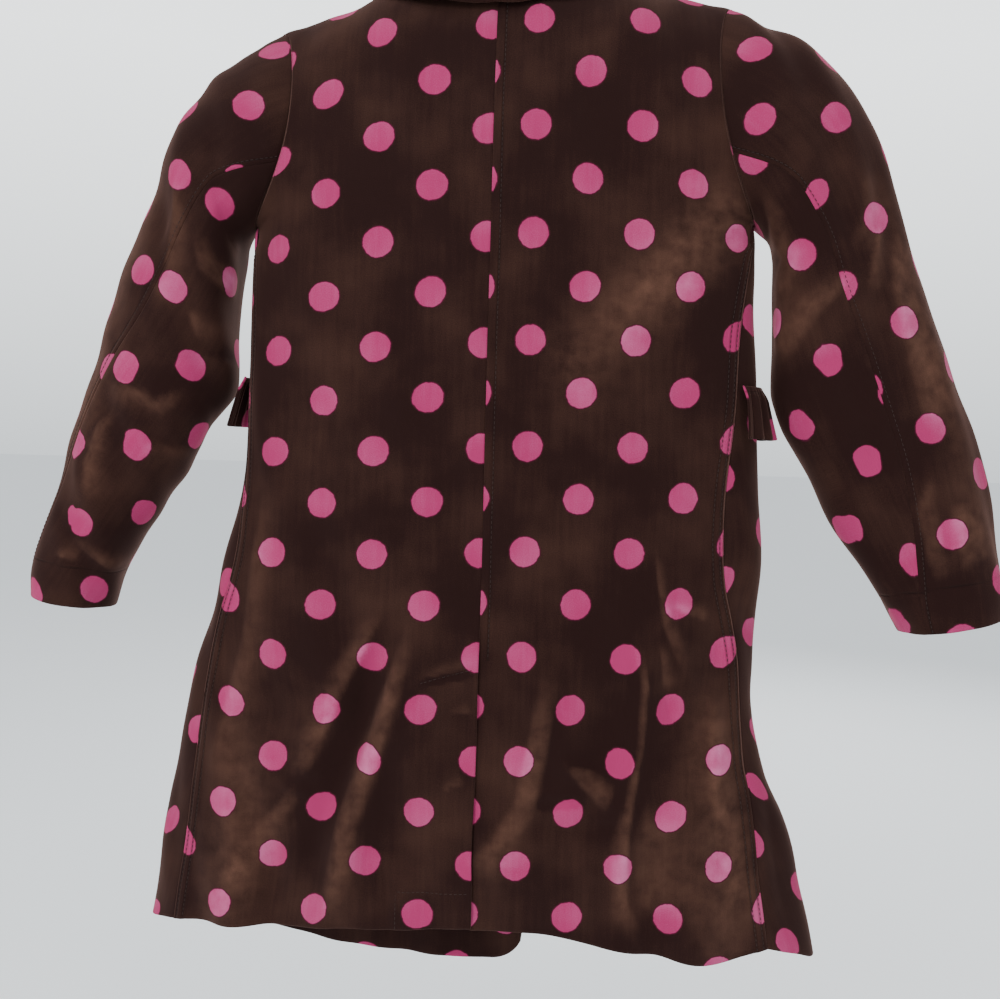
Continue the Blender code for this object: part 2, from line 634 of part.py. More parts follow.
def neck_base():
    """Points of the neck edge from the left centre front round the back to the right, with places."""
    halves = []
    for side in ("left", "right"):
        back = body_surface(side, "back", back_columns(side)[None, :5])[0]
        front = body_surface(side, "front", front_columns(side)[0][:, 4:10])[0][::-1]
        points = np.concatenate([back, front[1:]])
        places = np.concatenate([np.linspace(0, 0.5, 5), np.linspace(0.5, 1, 6)[1:]])
        finer = np.linspace(0, 1, 2 * len(places) - 1)
        knots = np.linspace(0, 1, len(places))
        points = np.stack([np.interp(finer, knots, points[:, axis]) for axis in range(3)], axis=1)
        places = np.interp(finer, knots, places)
        points[-1, 0] += SIDES[side] * COLLAR_END_GAP / 2
        halves.append((points, places))
    (left, left_places), (right, right_places) = halves
    points = np.concatenate([left[::-1], right[1:]])
    places = np.concatenate([left_places[::-1], right_places[1:]])
    sides = ["left"] * len(left) + ["right"] * (len(right) - 1)
    return points, places, sides


def fall_points(point, side, place, reach, turn, stand):
    """One column of the fall: it runs out over the body and comes down onto it."""
    face = "back" if place <= 0.5 else "front"
    part = np.linspace(0, 1, COLLAR_FALL_ROWS)
    out = COLLAR_ROLL + (reach - COLLAR_ROLL) * part
    x = abs(point[0]) + out * math.cos(turn)
    drop = -point[2] + out * math.sin(turn)
    top_drop = body_y(side, face, x, drop)[2]
    drop = top_drop if abs(place - 0.5) < 1e-6 else np.maximum(drop, top_drop)
    y, tilt, _ = body_y(side, face, x, drop)
    low = WALL / 2 + COLLAR_CLEAR
    height = low + (stand - low) * (1 - part**COLLAR_CURVE)
    places = np.stack([SIDES[side] * x, y, -drop], axis=-1)
    away = np.stack([0 * x, FACES[face] * np.sin(tilt), np.cos(tilt)], axis=-1)
    return places + away * height[:, None]


def build_collar():
    """Stand up from the neck edge to the rolled top, and a fall that lies over the body."""
    base, places, sides = neck_base()
    columns = [through(places, COLLAR[:, 0], COLLAR[:, column]) for column in range(1, 5)]
    stand, length, turn, foot_rise = columns
    turn = np.radians(turn)
    along = np.gradient(base, axis=0)
    out = unit(np.stack([-along[:, 1], along[:, 0], 0 * along[:, 0]], axis=1))
    out *= np.sign((out * base).sum(axis=1, keepdims=True))
    up = np.array([0.0, 0.0, 1.0])
    foot = base - out * (WALL / 2 + COLLAR_INSIDE) + up * foot_rise[:, None]
    along = np.cumsum(np.concatenate([[0], np.linalg.norm(np.diff(base, axis=0), axis=1)]))
    from_end = np.clip(np.minimum(along, along[-1] - along) / COLLAR_CORNER, 0, 1)
    length = length - COLLAR_CORNER_DEPTH * (1 - np.sqrt(1 - (1 - from_end) ** 2))
    columns = [fall_points(*values) for values in zip(base, sides, places, length, turn, stand)]
    fall = np.stack(columns, axis=1)
    top = foot + up * stand[:, None]
    roll = (top + fall[0]) / 2 + up * COLLAR_ROLL_RISE
    lines = [foot + (top - foot) * part for part in np.linspace(0, 1, COLLAR_STAND_ROWS)]
    middle = np.concatenate([np.array(lines), roll[None], fall])
    normals = normals_of(middle, 1)
    walls = np.array([middle + normals * WALL / 2, middle - normals * WALL / 2])
    stand_walls = walls[:, : COLLAR_STAND_ROWS + 1].copy()
    fall_walls = walls[:, COLLAR_STAND_ROWS:].copy()
    pulled_back(*stand_walls, -1, -2, COLLAR_SEAM_GAP)
    pulled_back(*fall_walls, 0, 1, COLLAR_SEAM_GAP)
    return [closed_wall("collar_stand", *stand_walls), closed_wall("collar_fall", *fall_walls)]


# ---------------------------------------------------------------- flaps, buttons


def front_at(side, share, drop):
    """Front surface point and normal at a share and drop below the armhole."""
    edge, seam, back, front = section(side, drop)
    angle_to_seam = math.pi - np.arcsin((seam / edge) ** (SECTION_POWER / 2))
    angle = angle_to_seam * share
    x = edge * signed_power(np.sin(angle), 2 / SECTION_POWER)
    reach = np.where(np.cos(angle) > 0, front, back)
    y = -reach * signed_power(np.cos(angle), 2 / SECTION_POWER)
    across = (x / edge) ** (SECTION_POWER - 1) / edge
    out = signed_power(y / reach, SECTION_POWER - 1) / reach
    normal = unit(np.stack([SIDES[side] * across, out, 0 * x], axis=-1))
    return np.stack([SIDES[side] * x, y, -drop + 0 * x], axis=-1), normal


def build_flap(side):
    """A gathered strip: flat at its stitched top, waved and standing off along its lower edge."""
    along = np.linspace(0, 1, FLAP_COLUMNS)[None, :]
    down = np.linspace(0, 1, FLAP_ROWS)[:, None]
    share = FLAP_START[side] + (FLAP_END - FLAP_START[side]) * along
    share, drop = np.broadcast_arrays(share, FLAP_DROP + FLAP_DEPTH * down)
    points, normals = front_at(side, share, drop)
    wave = 0.5 + 0.5 * np.cos(2 * math.pi * FLAP_GATHERS * along)
    flare = FLAP_FLARE * (1 - (1 - FLAP_LEAST_FLARE) * along)
    off = SEAM_GAP + WALL + (flare + FLAP_WAVE * wave) * down + FLAP_TOP_WAVE * wave * (1 - down)
    outer = points + normals * off[..., None]
    tilt = unit(normals + np.array([0.0, 0.0, FLAP_LEAN]) * down[..., None])
    inner = outer - tilt * WALL
    return closed_wall("flap_" + side, outer, inner)


def build_button(number, drop):
    """A plain disc with a softened edge, standing on the right front at the centre line."""
    drops = drop + np.linspace(-BUTTON_RADIUS, BUTTON_RADIUS, 5)
    front = max(-body_y("right", "front", np.array(0.0), height)[0] for height in drops)
    bpy.ops.mesh.primitive_cylinder_add(
        vertices=BUTTON_SIDES, radius=BUTTON_RADIUS, depth=BUTTON_THICKNESS, rotation=(math.pi / 2, 0, 0)
    )
    piece = bpy.context.object
    piece.name = f"button_{number}"
    piece.location = (0, -float(front) - SEAM_GAP - BUTTON_THICKNESS / 2, -drop)
    edge = piece.modifiers.new("edge", "BEVEL")
    edge.width = BUTTON_EDGE
    edge.segments = 1
    edge.limit_method = "ANGLE"
    for collection in list(piece.users_collection):
        collection.objects.unlink(piece)
    coat.objects.link(piece)
    return piece


# ---------------------------------------------------------------- hanger


def hanger_top(x):
    """Drop of the arms' upper edge, a little under the shoulder cloth on both sides."""
    left = x > 0
    neck = np.where(left, NECK_DROP["left"], NECK_DROP["right"])
    tip = np.where(left, TIP_DROP["left"], TIP_DROP["right"])
    along = (np.abs(x) - NECK_HALF) / (TIP_HALF - NECK_HALF)
    dip = ARM_NECK_DIP * np.clip(1 - along, 0, 1) ** 2
    shoulder = neck + (tip - neck) * along + WALL + ARM_CLEAR + dip
    return ARM_TOP_DROP + (shoulder - ARM_TOP_DROP) * smooth(np.abs(x) / ARM_RISE_HALF)


def flat_outline(name, outline, half_thickness, rounding):
    """A filled outline in the X-Z plane, as thick as twice the given value."""
    curve = bpy.data.curves.new(name, "CURVE")
    curve.dimensions = "2D"
    curve.fill_mode = "BOTH"
    curve.extrude = half_thickness - rounding
    curve.bevel_depth = rounding
    curve.bevel_resolution = 1
    curve.offset = -rounding
    spline = curve.splines.new("POLY")
    spline.points.add(len(outline) - 1)
    for point, (x, z) in zip(spline.points, outline):
        point.co = (x, z, 0, 1)
    spline.use_cyclic_u = True
    shape = bpy.data.objects.new(name, curve)
    shape.rotation_euler = (math.pi / 2, 0, 0)
    return shape


def rod(name, points, radius):
    """A round rod along points."""
    curve = bpy.data.curves.new(name, "CURVE")
    curve.dimensions = "3D"
    curve.bevel_depth = radius
    curve.bevel_resolution = 2
    curve.use_fill_caps = True
    spline = curve.splines.new("POLY")
    spline.points.add(len(points) - 1)
    for point, place in zip(spline.points, points):
        point.co = (*place, 1)
    return bpy.data.objects.new(name, curve)


def as_mesh(shape):
    """The evaluated mesh of a curve object in world space, with its caps welded."""
    coat.objects.link(shape)
    bpy.context.view_layer.update()
    graph = bpy.context.evaluated_depsgraph_get()
    mesh = bpy.data.meshes.new_from_object(shape.evaluated_get(graph))
    mesh.transform(shape.matrix_world)
    made = bmesh.new()
    made.from_mesh(mesh)
    bmesh.ops.remove_doubles(made, verts=made.verts, dist=WELD_DISTANCE)
    bmesh.ops.recalc_face_normals(made, faces=made.faces)
    made.to_mesh(mesh)
    made.free()
    bpy.data.objects.remove(shape)
    return mesh


def build_hanger():
    """Shoulder arms and hook in one moulded piece; the arms follow the two shoulders."""
    along = np.linspace(-ARM_END, ARM_END, 2 * ARM_POINTS + 1)
    top = -hanger_top(along)
    depth = ARM_DEPTH_MIDDLE + (ARM_DEPTH_END - ARM_DEPTH_MIDDLE) * np.abs(along) / ARM_END
    square = np.sqrt(np.clip(1 - (np.abs(along) / ARM_END) ** ARM_END_POWER, 0, 1))
    rounded = ARM_END_LEAST + (1 - ARM_END_LEAST) * square
    outline = list(zip(along, top - depth * (1 - rounded) * ARM_END_RISE))
    outline += list(zip(along[::-1], (top - depth * rounded)[::-1]))
    arms = as_mesh(flat_outline("arms", outline, ARM_HALF_THICKNESS, ARM_EDGE))
    centre = -HOOK_RADIUS + HOOK_ROD
    hook_turn = np.linspace(-HOOK_OPEN_DEGREES, 180, HOOK_POINTS)
    stem_turn = np.linspace(180, STEM_TURN_DEGREES, STEM_POINTS + 1)[1:]
    turn = np.radians(np.concatenate([hook_turn, stem_turn]))
    bend = [(HOOK_RADIUS * -math.cos(a), 0, centre + HOOK_RADIUS * math.sin(a)) for a in turn]
    bend.append((0, 0, centre - HOOK_RADIUS * STEM_START))
    bend.append((0, 0, -ARM_TOP_DROP - ARM_DEPTH_MIDDLE / 3))
    hook = add_piece("hook_tool", as_mesh(rod("hook", bend, HOOK_ROD)))
    hanger = add_piece("hanger", arms)
    join = hanger.modifiers.new("hook", "BOOLEAN")
    join.operation = "UNION"
    join.object = hook
    hook.hide_render = True
    hook.display_type = "WIRE"
    tools.objects.link(hook)
    coat.objects.unlink(hook)
    return hanger


# ---------------------------------------------------------------- materials


def material(name, colour, roughness):
    made = bpy.data.materials.new(name)
    made.use_nodes = True
    shader = made.node_tree.nodes["Principled BSDF"]
    shader.inputs["Base Color"].default_value = (*colour, 1)
    shader.inputs["Roughness"].default_value = roughness
    shader.inputs["Metallic"].default_value = 0
    return made


def new_collection(name):
    made = bpy.data.collections.new(name)
    bpy.context.scene.collection.children.link(made)
    return made


def main():
    cloth = [build_back_left(), build_back_right()]
    cloth += [build_front(side) for side in SIDES]
    cloth += [build_sleeve(side, piece) for side in SIDES for piece in ("upper", "under")]
    cloth += build_collar()
    cloth += [build_flap(side) for side in SIDES]
    buttons = [build_button(number, drop) for number, drop in enumerate(BUTTON_DROPS, 1)]
    hanger = build_hanger()
    velveteen = material("brown cotton velveteen", (0.030, 0.011, 0.008), 0.9)
    horn = material("dark brown moulded button", (0.020, 0.009, 0.007), 0.35)
    moulded = material("pale moulded plastic", (0.72, 0.70, 0.66), 0.4)
    for pieces, finish in ((cloth, velveteen), (buttons, horn), ([hanger], moulded)):
        for piece in pieces:
            piece.data.materials.clear()
            piece.data.materials.append(finish)


for old in list(bpy.data.objects):
    bpy.data.objects.remove(old)
coat = new_collection("dress coat")
tools = new_collection("tools")
main()
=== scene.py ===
"""Looks of a child's velveteen dress coat on its hanger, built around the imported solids.

Metres, +Z up, origin where the hook rests on its rail. The coat's front faces -Y, its back +Y, and
+X is the wearer's left. Heights are written as drops: distances below the origin. Every cloth piece
is a thin shell on the same surface formulas as its solid, with finer rows, creases and seams.
"""

import math

import bmesh
import bpy
import numpy as np
from mathutils import Matrix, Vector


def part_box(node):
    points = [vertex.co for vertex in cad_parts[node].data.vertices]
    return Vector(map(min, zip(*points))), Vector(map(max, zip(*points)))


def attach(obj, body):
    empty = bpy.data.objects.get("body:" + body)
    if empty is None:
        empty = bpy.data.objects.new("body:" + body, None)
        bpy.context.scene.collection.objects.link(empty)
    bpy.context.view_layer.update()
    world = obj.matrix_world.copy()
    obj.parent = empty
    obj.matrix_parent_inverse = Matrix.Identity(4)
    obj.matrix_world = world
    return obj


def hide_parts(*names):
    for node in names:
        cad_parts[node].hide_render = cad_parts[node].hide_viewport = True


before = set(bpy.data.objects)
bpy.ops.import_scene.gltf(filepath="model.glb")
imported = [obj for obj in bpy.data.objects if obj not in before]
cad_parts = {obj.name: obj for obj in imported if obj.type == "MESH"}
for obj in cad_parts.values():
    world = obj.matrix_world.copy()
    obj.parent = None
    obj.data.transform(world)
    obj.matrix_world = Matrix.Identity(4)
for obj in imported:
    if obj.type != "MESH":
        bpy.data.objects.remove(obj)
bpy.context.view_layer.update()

# ---------------------------------------------------------------- sizes shared with the solids

SECTION_POWER = 2.4
# drop, left edge, left seam, right edge, right seam (all |x|), back and front reach (|y|)
SECTIONS = np.array(
    [
        (0.090, 0.150, 0.140, 0.150, 0.140, 0.036, 0.030),
        (0.170, 0.155, 0.148, 0.158, 0.150, 0.042, 0.035),
        (0.240, 0.166, 0.1655, 0.170, 0.1695, 0.044, 0.037),
        (0.270, 0.168, 0.1665, 0.172, 0.166, 0.044, 0.037),
        (0.300, 0.169, 0.1665, 0.174, 0.162, 0.044, 0.037),
        (0.360, 0.170, 0.167, 0.176, 0.160, 0.044, 0.036),
        (0.420, 0.174, 0.169, 0.181, 0.155, 0.043, 0.034),
        (0.470, 0.187, 0.173, 0.181, 0.157, 0.043, 0.032),
        (0.510, 0.197, 0.184, 0.182, 0.166, 0.044, 0.030),
        (0.560, 0.209, 0.192, 0.182, 0.171, 0.045, 0.028),
        (0.590, 0.216, 0.195, 0.191, 0.174, 0.046, 0.027),
        (0.620, 0.222, 0.198, 0.207, 0.180, 0.047, 0.026),
        (0.660, 0.226, 0.202, 0.218, 0.185, 0.048, 0.025),
        (0.710, 0.234, 0.209, 0.229, 0.193, 0.049, 0.024),
        (0.760, 0.238, 0.213, 0.236, 0.197, 0.049, 0.024),
    ]
)
NECK_HALF = 0.058
NECK_DROP = {"left": 0.0813, "right": 0.0767}
TIP_HALF = 0.150
TIP_DROP = {"left": 0.108, "right": 0.096}
BACK_NECK_DROP, BACK_NECK_REACH = 0.097, 0.029
FRONT_NECK_DROP, FRONT_NECK_REACH = 0.143, 0.034
NECK_ROUNDING, SHOULDER_ROUNDING = 0.022, 0.045
PIT_DROP = {"left": 0.240, "right": 0.236}
ARMHOLE_SCOOP = {"left": 0.020, "right": 0.015}
FRONT_SCOOP = 0.020
SCOOP_BENDS = (1.3, 2.0)
ARMHOLE_BACK, ARMHOLE_FRONT = 0.028, 0.032
ARMHOLE_ANGLES = np.radians([0, 13, 32, 55, 75, 95, 115, 135, 155, 180])
BACK_SEAM_AT, FRONT_SEAM_AT = 6, 7
PIT_LEAN = 0.38
HEMS = {
    ("left", "back"): [(0, 0.699), (0.17, 0.705), (0.3, 0.706), (0.44, 0.710), (0.75, 0.715), (1, 0.719)],
    ("right", "back"): [(0, 0.701), (0.13, 0.701), (0.35, 0.708), (0.68, 0.716), (0.89, 0.711), (1, 0.708)],
    ("left", "front"): [(0, 0.7545), (0.1, 0.754), (0.25, 0.746), (0.4, 0.738), (0.7, 0.729), (1, 0.719)],
    ("right", "front"): [(0, 0.718), (0.3, 0.720), (0.6, 0.721), (0.8, 0.720), (0.9, 0.714), (1, 0.708)],
}
FRONT_CORNER_RADIUS = 0.024
FRONT_LAP, FRONT_LAP_FADE, FRONT_LAP_LIFT = 0.030, 0.030, 0.0034
LAP_NECK_STEP, LAP_NECK_RUN = 0.003, 0.012
VENT_DROP, VENT_WIDTH, VENT_FADE, VENT_RUN = 0.525, 0.038, 0.022, 0.030
LAP_LIFT = 0.0027
# Sleeve rings: outer |x| and drop, inner |x| and drop, back and front reach, back seam's angle
SLEEVE_ROWS = {
    "left": np.array(
        [
            (0.150, 0.108, 0.1655, 0.240, 0.028, 0.032, 115),
            (0.172, 0.122, 0.176, 0.249, 0.039, 0.034, 111),
            (0.194, 0.138, 0.179, 0.259, 0.041, 0.037, 106),
            (0.214, 0.161, 0.179, 0.273, 0.041, 0.039, 100),
            (0.231, 0.196, 0.181, 0.294, 0.041, 0.039, 93),
            (0.249, 0.241, 0.182, 0.319, 0.040, 0.039, 85),
            (0.264, 0.283, 0.184, 0.345, 0.039, 0.038, 74),
            (0.280, 0.330, 0.195, 0.373, 0.037, 0.037, 58),
            (0.294, 0.375, 0.217, 0.407, 0.035, 0.036, 48),
            (0.307, 0.420, 0.238, 0.439, 0.033, 0.035, 45),
            (0.320, 0.456, 0.252, 0.463, 0.031, 0.034, 36),
            (0.327, 0.480, 0.263, 0.486, 0.029, 0.033, 24),
            (0.327, 0.499, 0.271, 0.508, 0.028, 0.032, 16),
        ]
    ),
    "right": np.array(
        [
            (0.150, 0.096, 0.1695, 0.236, 0.028, 0.032, 115),
            (0.176, 0.107, 0.181, 0.246, 0.038, 0.033, 114),
            (0.203, 0.122, 0.184, 0.257, 0.039, 0.035, 112),
            (0.229, 0.151, 0.185, 0.271, 0.038, 0.035, 108),
            (0.251, 0.190, 0.186, 0.291, 0.036, 0.034, 102),
            (0.265, 0.236, 0.186, 0.315, 0.034, 0.032, 96),
            (0.281, 0.275, 0.187, 0.342, 0.031, 0.030, 90),
            (0.301, 0.327, 0.194, 0.371, 0.029, 0.028, 88),
            (0.318, 0.375, 0.213, 0.402, 0.028, 0.027, 92),
            (0.330, 0.415, 0.232, 0.435, 0.028, 0.027, 100),
            (0.336, 0.447, 0.248, 0.460, 0.028, 0.028, 110),
            (0.340, 0.470, 0.262, 0.484, 0.028, 0.028, 121),
            (0.341, 0.487, 0.275, 0.502, 0.028, 0.028, 130),
        ]
    ),
}
LOOP_FADE_ROWS = 2.2
# place along the neck, stand, fall length, direction below level in degrees, rise of the foot
COLLAR = np.array(
    [
        (0.00, 0.034, 0.0100, 88, 0.0008),
        (0.25, 0.032, 0.0160, 62, 0.0008),
        (0.42, 0.029, 0.0270, 36, 0.0008),
        (0.50, 0.027, 0.0330, 20, 0.0008),
        (0.60, 0.023, 0.0380, 26, 0.0008),
        (0.75, 0.017, 0.0420, 46, 0.0010),
        (0.90, 0.011, 0.0430, 72, 0.0014),
        (1.00, 0.008, 0.0430, 84, 0.0020),
    ]
)
COLLAR_END_GAP, COLLAR_CORNER, COLLAR_CORNER_DEPTH = 0.005, 0.016, 0.0096
COLLAR_ROLL, COLLAR_ROLL_RISE, COLLAR_CURVE = 0.0045, 0.00225, 1.5
COLLAR_CLEAR, COLLAR_INSIDE = 0.0030, 0.0016
FLAP_DROP, FLAP_DEPTH, FLAP_START, FLAP_END = 0.343, 0.034, 0.985, 0.50
FLAP_GATHERS, FLAP_FLARE, FLAP_WAVE, FLAP_LEAST_FLARE = 8, 0.0085, 0.0022, 0.6
BUTTON_RADIUS, BUTTON_THICKNESS = 0.0105, 0.0036
HOOK_RADIUS, HOOK_ROD, HOOK_OPEN_DEGREES = 0.0205, 0.0027, 62
ARM_HALF_THICKNESS, ARM_CLEAR, ARM_NECK_DIP = 0.0055, 0.0010, 0.0036
ARM_RISE_HALF, ARM_END, ARM_TOP_DROP = 0.048, 0.134, 0.068
ARM_DEPTH_MIDDLE, ARM_DEPTH_END = 0.030, 0.016
WALL = 0.002
SIDES = {"left": 1, "right": -1}
FACES = {"back": 1, "front": -1}

# ---------------------------------------------------------------- sizes of the looks

FINER = 6  # rows for each row of the solid's armhole
BODY_ROWS = 180
SOLID_ROWS = 20  # rows of the solid below its armhole
LOOP_FADE = 0.016  # an armhole's own curve spreads this far into its panel
CLOTH = 0.0016  # thickness of the shown cloth
EDGE_ROUND = 0.0009
SEAM_CLOSE = 0.0002  # how far sewn edges press into each other
SEAM_GAP = 0.0004
SEAM_CALM = 0.018  # slow waves fade out this far from a sewn edge
FACING_WIDTH = 0.085
SEAM_LAP, SEAM_LAP_WIDTH = 0.0007, 0.009  # the backs lie over the fronts at the side seams

# Soft folds of the solids, then the finer creases: face, start x, start drop, end x, end drop,
# half-width, height. x is + on the left half
FOLDS = [
    ("back", 0.069, 0.505, 0.119, 0.614, 0.014, 0.004),
    ("back", 0.043, 0.511, 0.099, 0.720, 0.015, 0.006),
    ("back", 0.062, 0.524, 0.113, 0.677, 0.010, -0.004),
    ("back", 0.160, 0.640, 0.165, 0.730, 0.016, 0.005),
    ("back", 0.135, 0.660, 0.140, 0.730, 0.010, -0.004),
    ("back", -0.043, 0.516, -0.010, 0.656, 0.018, 0.004),
    ("back", -0.108, 0.522, -0.095, 0.650, 0.012, 0.005),
    ("back", -0.085, 0.560, -0.070, 0.640, 0.012, -0.004),
    ("back", -0.140, 0.600, -0.150, 0.730, 0.018, 0.006),
    ("back", -0.118, 0.650, -0.122, 0.730, 0.012, -0.004),
    ("front", 0.150, 0.560, 0.165, 0.740, 0.020, 0.006),
    ("front", 0.095, 0.600, 0.105, 0.750, 0.016, -0.004),
    ("front", -0.140, 0.570, -0.155, 0.740, 0.020, 0.007),
    ("front", -0.090, 0.590, -0.095, 0.730, 0.016, -0.005),
]
FOLD_OVERRUN, FOLD_TAPER = 0.3, 0.5
CREASES = [
    ("back", 0.071, 0.508, 0.093, 0.560, 0.0050, 0.0016),
    ("back", 0.060, 0.540, 0.088, 0.605, 0.0045, -0.0014),
    ("back", 0.055, 0.575, 0.079, 0.650, 0.0060, 0.0018),
    ("back", 0.113, 0.618, 0.128, 0.616, 0.0040, 0.0012),
    ("back", -0.036, 0.611, -0.081, 0.608, 0.0070, 0.0016),
    ("back", -0.043, 0.633, -0.094, 0.630, 0.0060, -0.0016),
    ("back", -0.058, 0.590, -0.088, 0.614, 0.0050, 0.0014),
    ("back", -0.118, 0.480, -0.118, 0.531, 0.0050, 0.0012),
    ("back", -0.118, 0.480, -0.135, 0.531, 0.0050, 0.0012),
    ("back", -0.112, 0.500, -0.126, 0.560, 0.0045, -0.0011),
    ("back", -0.158, 0.224, -0.102, 0.286, 0.0120, 0.0018),
    ("back", -0.102, 0.286, -0.047, 0.343, 0.0140, 0.0014),
    ("back", 0.150, 0.245, 0.110, 0.300, 0.0120, 0.0012),
    ("back", 0.056, 0.674, 0.055, 0.705, 0.0030, -0.0008),
    ("back", 0.020, 0.640, 0.050, 0.690, 0.0050, 0.0012),
    ("back", -0.030, 0.560, -0.012, 0.600, 0.0050, -0.0010),
    ("back", -0.160, 0.470, -0.145, 0.560, 0.0080, -0.0020),
    ("back", -0.150, 0.500, -0.152, 0.610, 0.0060, 0.0016),
    ("front", 0.150, 0.250, 0.105, 0.310, 0.0120, 0.0014),
    ("front", -0.150, 0.246, -0.100, 0.305, 0.0120, 0.0014),
    ("front", 0.060, 0.480, 0.080, 0.600, 0.0090, 0.0014),
    ("front", -0.050, 0.470, -0.072, 0.600, 0.0090, 0.0014),
    ("front", 0.120, 0.500, 0.128, 0.620, 0.0070, -0.0014),
    ("front", -0.118, 0.490, -0.126, 0.600, 0.0070, -0.0014),
    ("front", 0.040, 0.610, 0.052, 0.690, 0.0060, 0.0012),
    ("sleeve_back", 0.209, 0.181, 0.208, 0.267, 0.0080, 0.0020),
    ("sleeve_back", 0.203, 0.254, 0.186, 0.287, 0.0060, 0.0018),
    ("sleeve_back", 0.224, 0.235, 0.214, 0.300, 0.0070, -0.0016),
    ("sleeve_back", 0.237, 0.348, 0.195, 0.374, 0.0070, 0.0022),
    ("sleeve_back", 0.245, 0.322, 0.192, 0.338, 0.0070, -0.0020),
    ("sleeve_back", 0.262, 0.372, 0.214, 0.392, 0.0060, -0.0014),
    ("sleeve_back", 0.285, 0.395, 0.262, 0.450, 0.0060, 0.0014),
    ("sleeve_back", 0.300, 0.430, 0.275, 0.480, 0.0055, -0.0012),
    ("sleeve_back", -0.242, 0.207, -0.246, 0.306, 0.0070, -0.0020),
    ("sleeve_back", -0.179, 0.314, -0.217, 0.273, 0.0080, 0.0022),
    ("sleeve_back", -0.196, 0.345, -0.245, 0.300, 0.0080, -0.0018),
    ("sleeve_back", -0.205, 0.385, -0.262, 0.352, 0.0070, 0.0016),
    ("sleeve_back", -0.290, 0.360, -0.312, 0.440, 0.0090, 0.0014),
    ("sleeve_back", -0.262, 0.430, -0.285, 0.480, 0.0070, -0.0012),
    ("sleeve_front", 0.225, 0.330, 0.190, 0.352, 0.0090, 0.0022),
    ("sleeve_front", 0.240, 0.360, 0.200, 0.382, 0.0080, -0.0018),
    ("sleeve_front", 0.215, 0.200, 0.222, 0.290, 0.0090, 0.0016),
    ("sleeve_front", -0.225, 0.320, -0.190, 0.350, 0.0090, 0.0022),
    ("sleeve_front", -0.245, 0.350, -0.204, 0.380, 0.0080, -0.0018),
    ("sleeve_front", -0.215, 0.190, -0.225, 0.280, 0.0090, 0.0016),
]
# Slow waves that every cloth has: wavelength across, wavelength down, phase, height
WAVES = [
    (0.083, 0.31, 0.4, 0.0009),
    (0.051, 0.19, 2.1, 0.0006),
    (0.121, 0.113, 4.0, 0.0007),
    (0.034, 0.097, 5.2, 0.0004),
]

# Patches of painted highlight (+) or painted shade (-) on the velveteen: face, line as for the folds, strength
PAINTED_SHEEN_PATCHES = [
    ("back", -0.158, 0.224, -0.102, 0.286, 0.022, 0.45),
    ("back", -0.102, 0.286, -0.047, 0.343, 0.022, 0.30),
    ("back", 0.155, 0.600, 0.175, 0.715, 0.020, 0.30),
    ("back", -0.150, 0.560, -0.165, 0.715, 0.018, 0.30),
    ("sleeve_back", -0.259, 0.244, -0.320, 0.449, 0.014, 0.18),
    ("sleeve_back", 0.235, 0.210, 0.290, 0.400, 0.014, 0.30),
]

BAND_START, BAND_END, BAND_SOFTNESS = 0.55, 1.35, 1.9
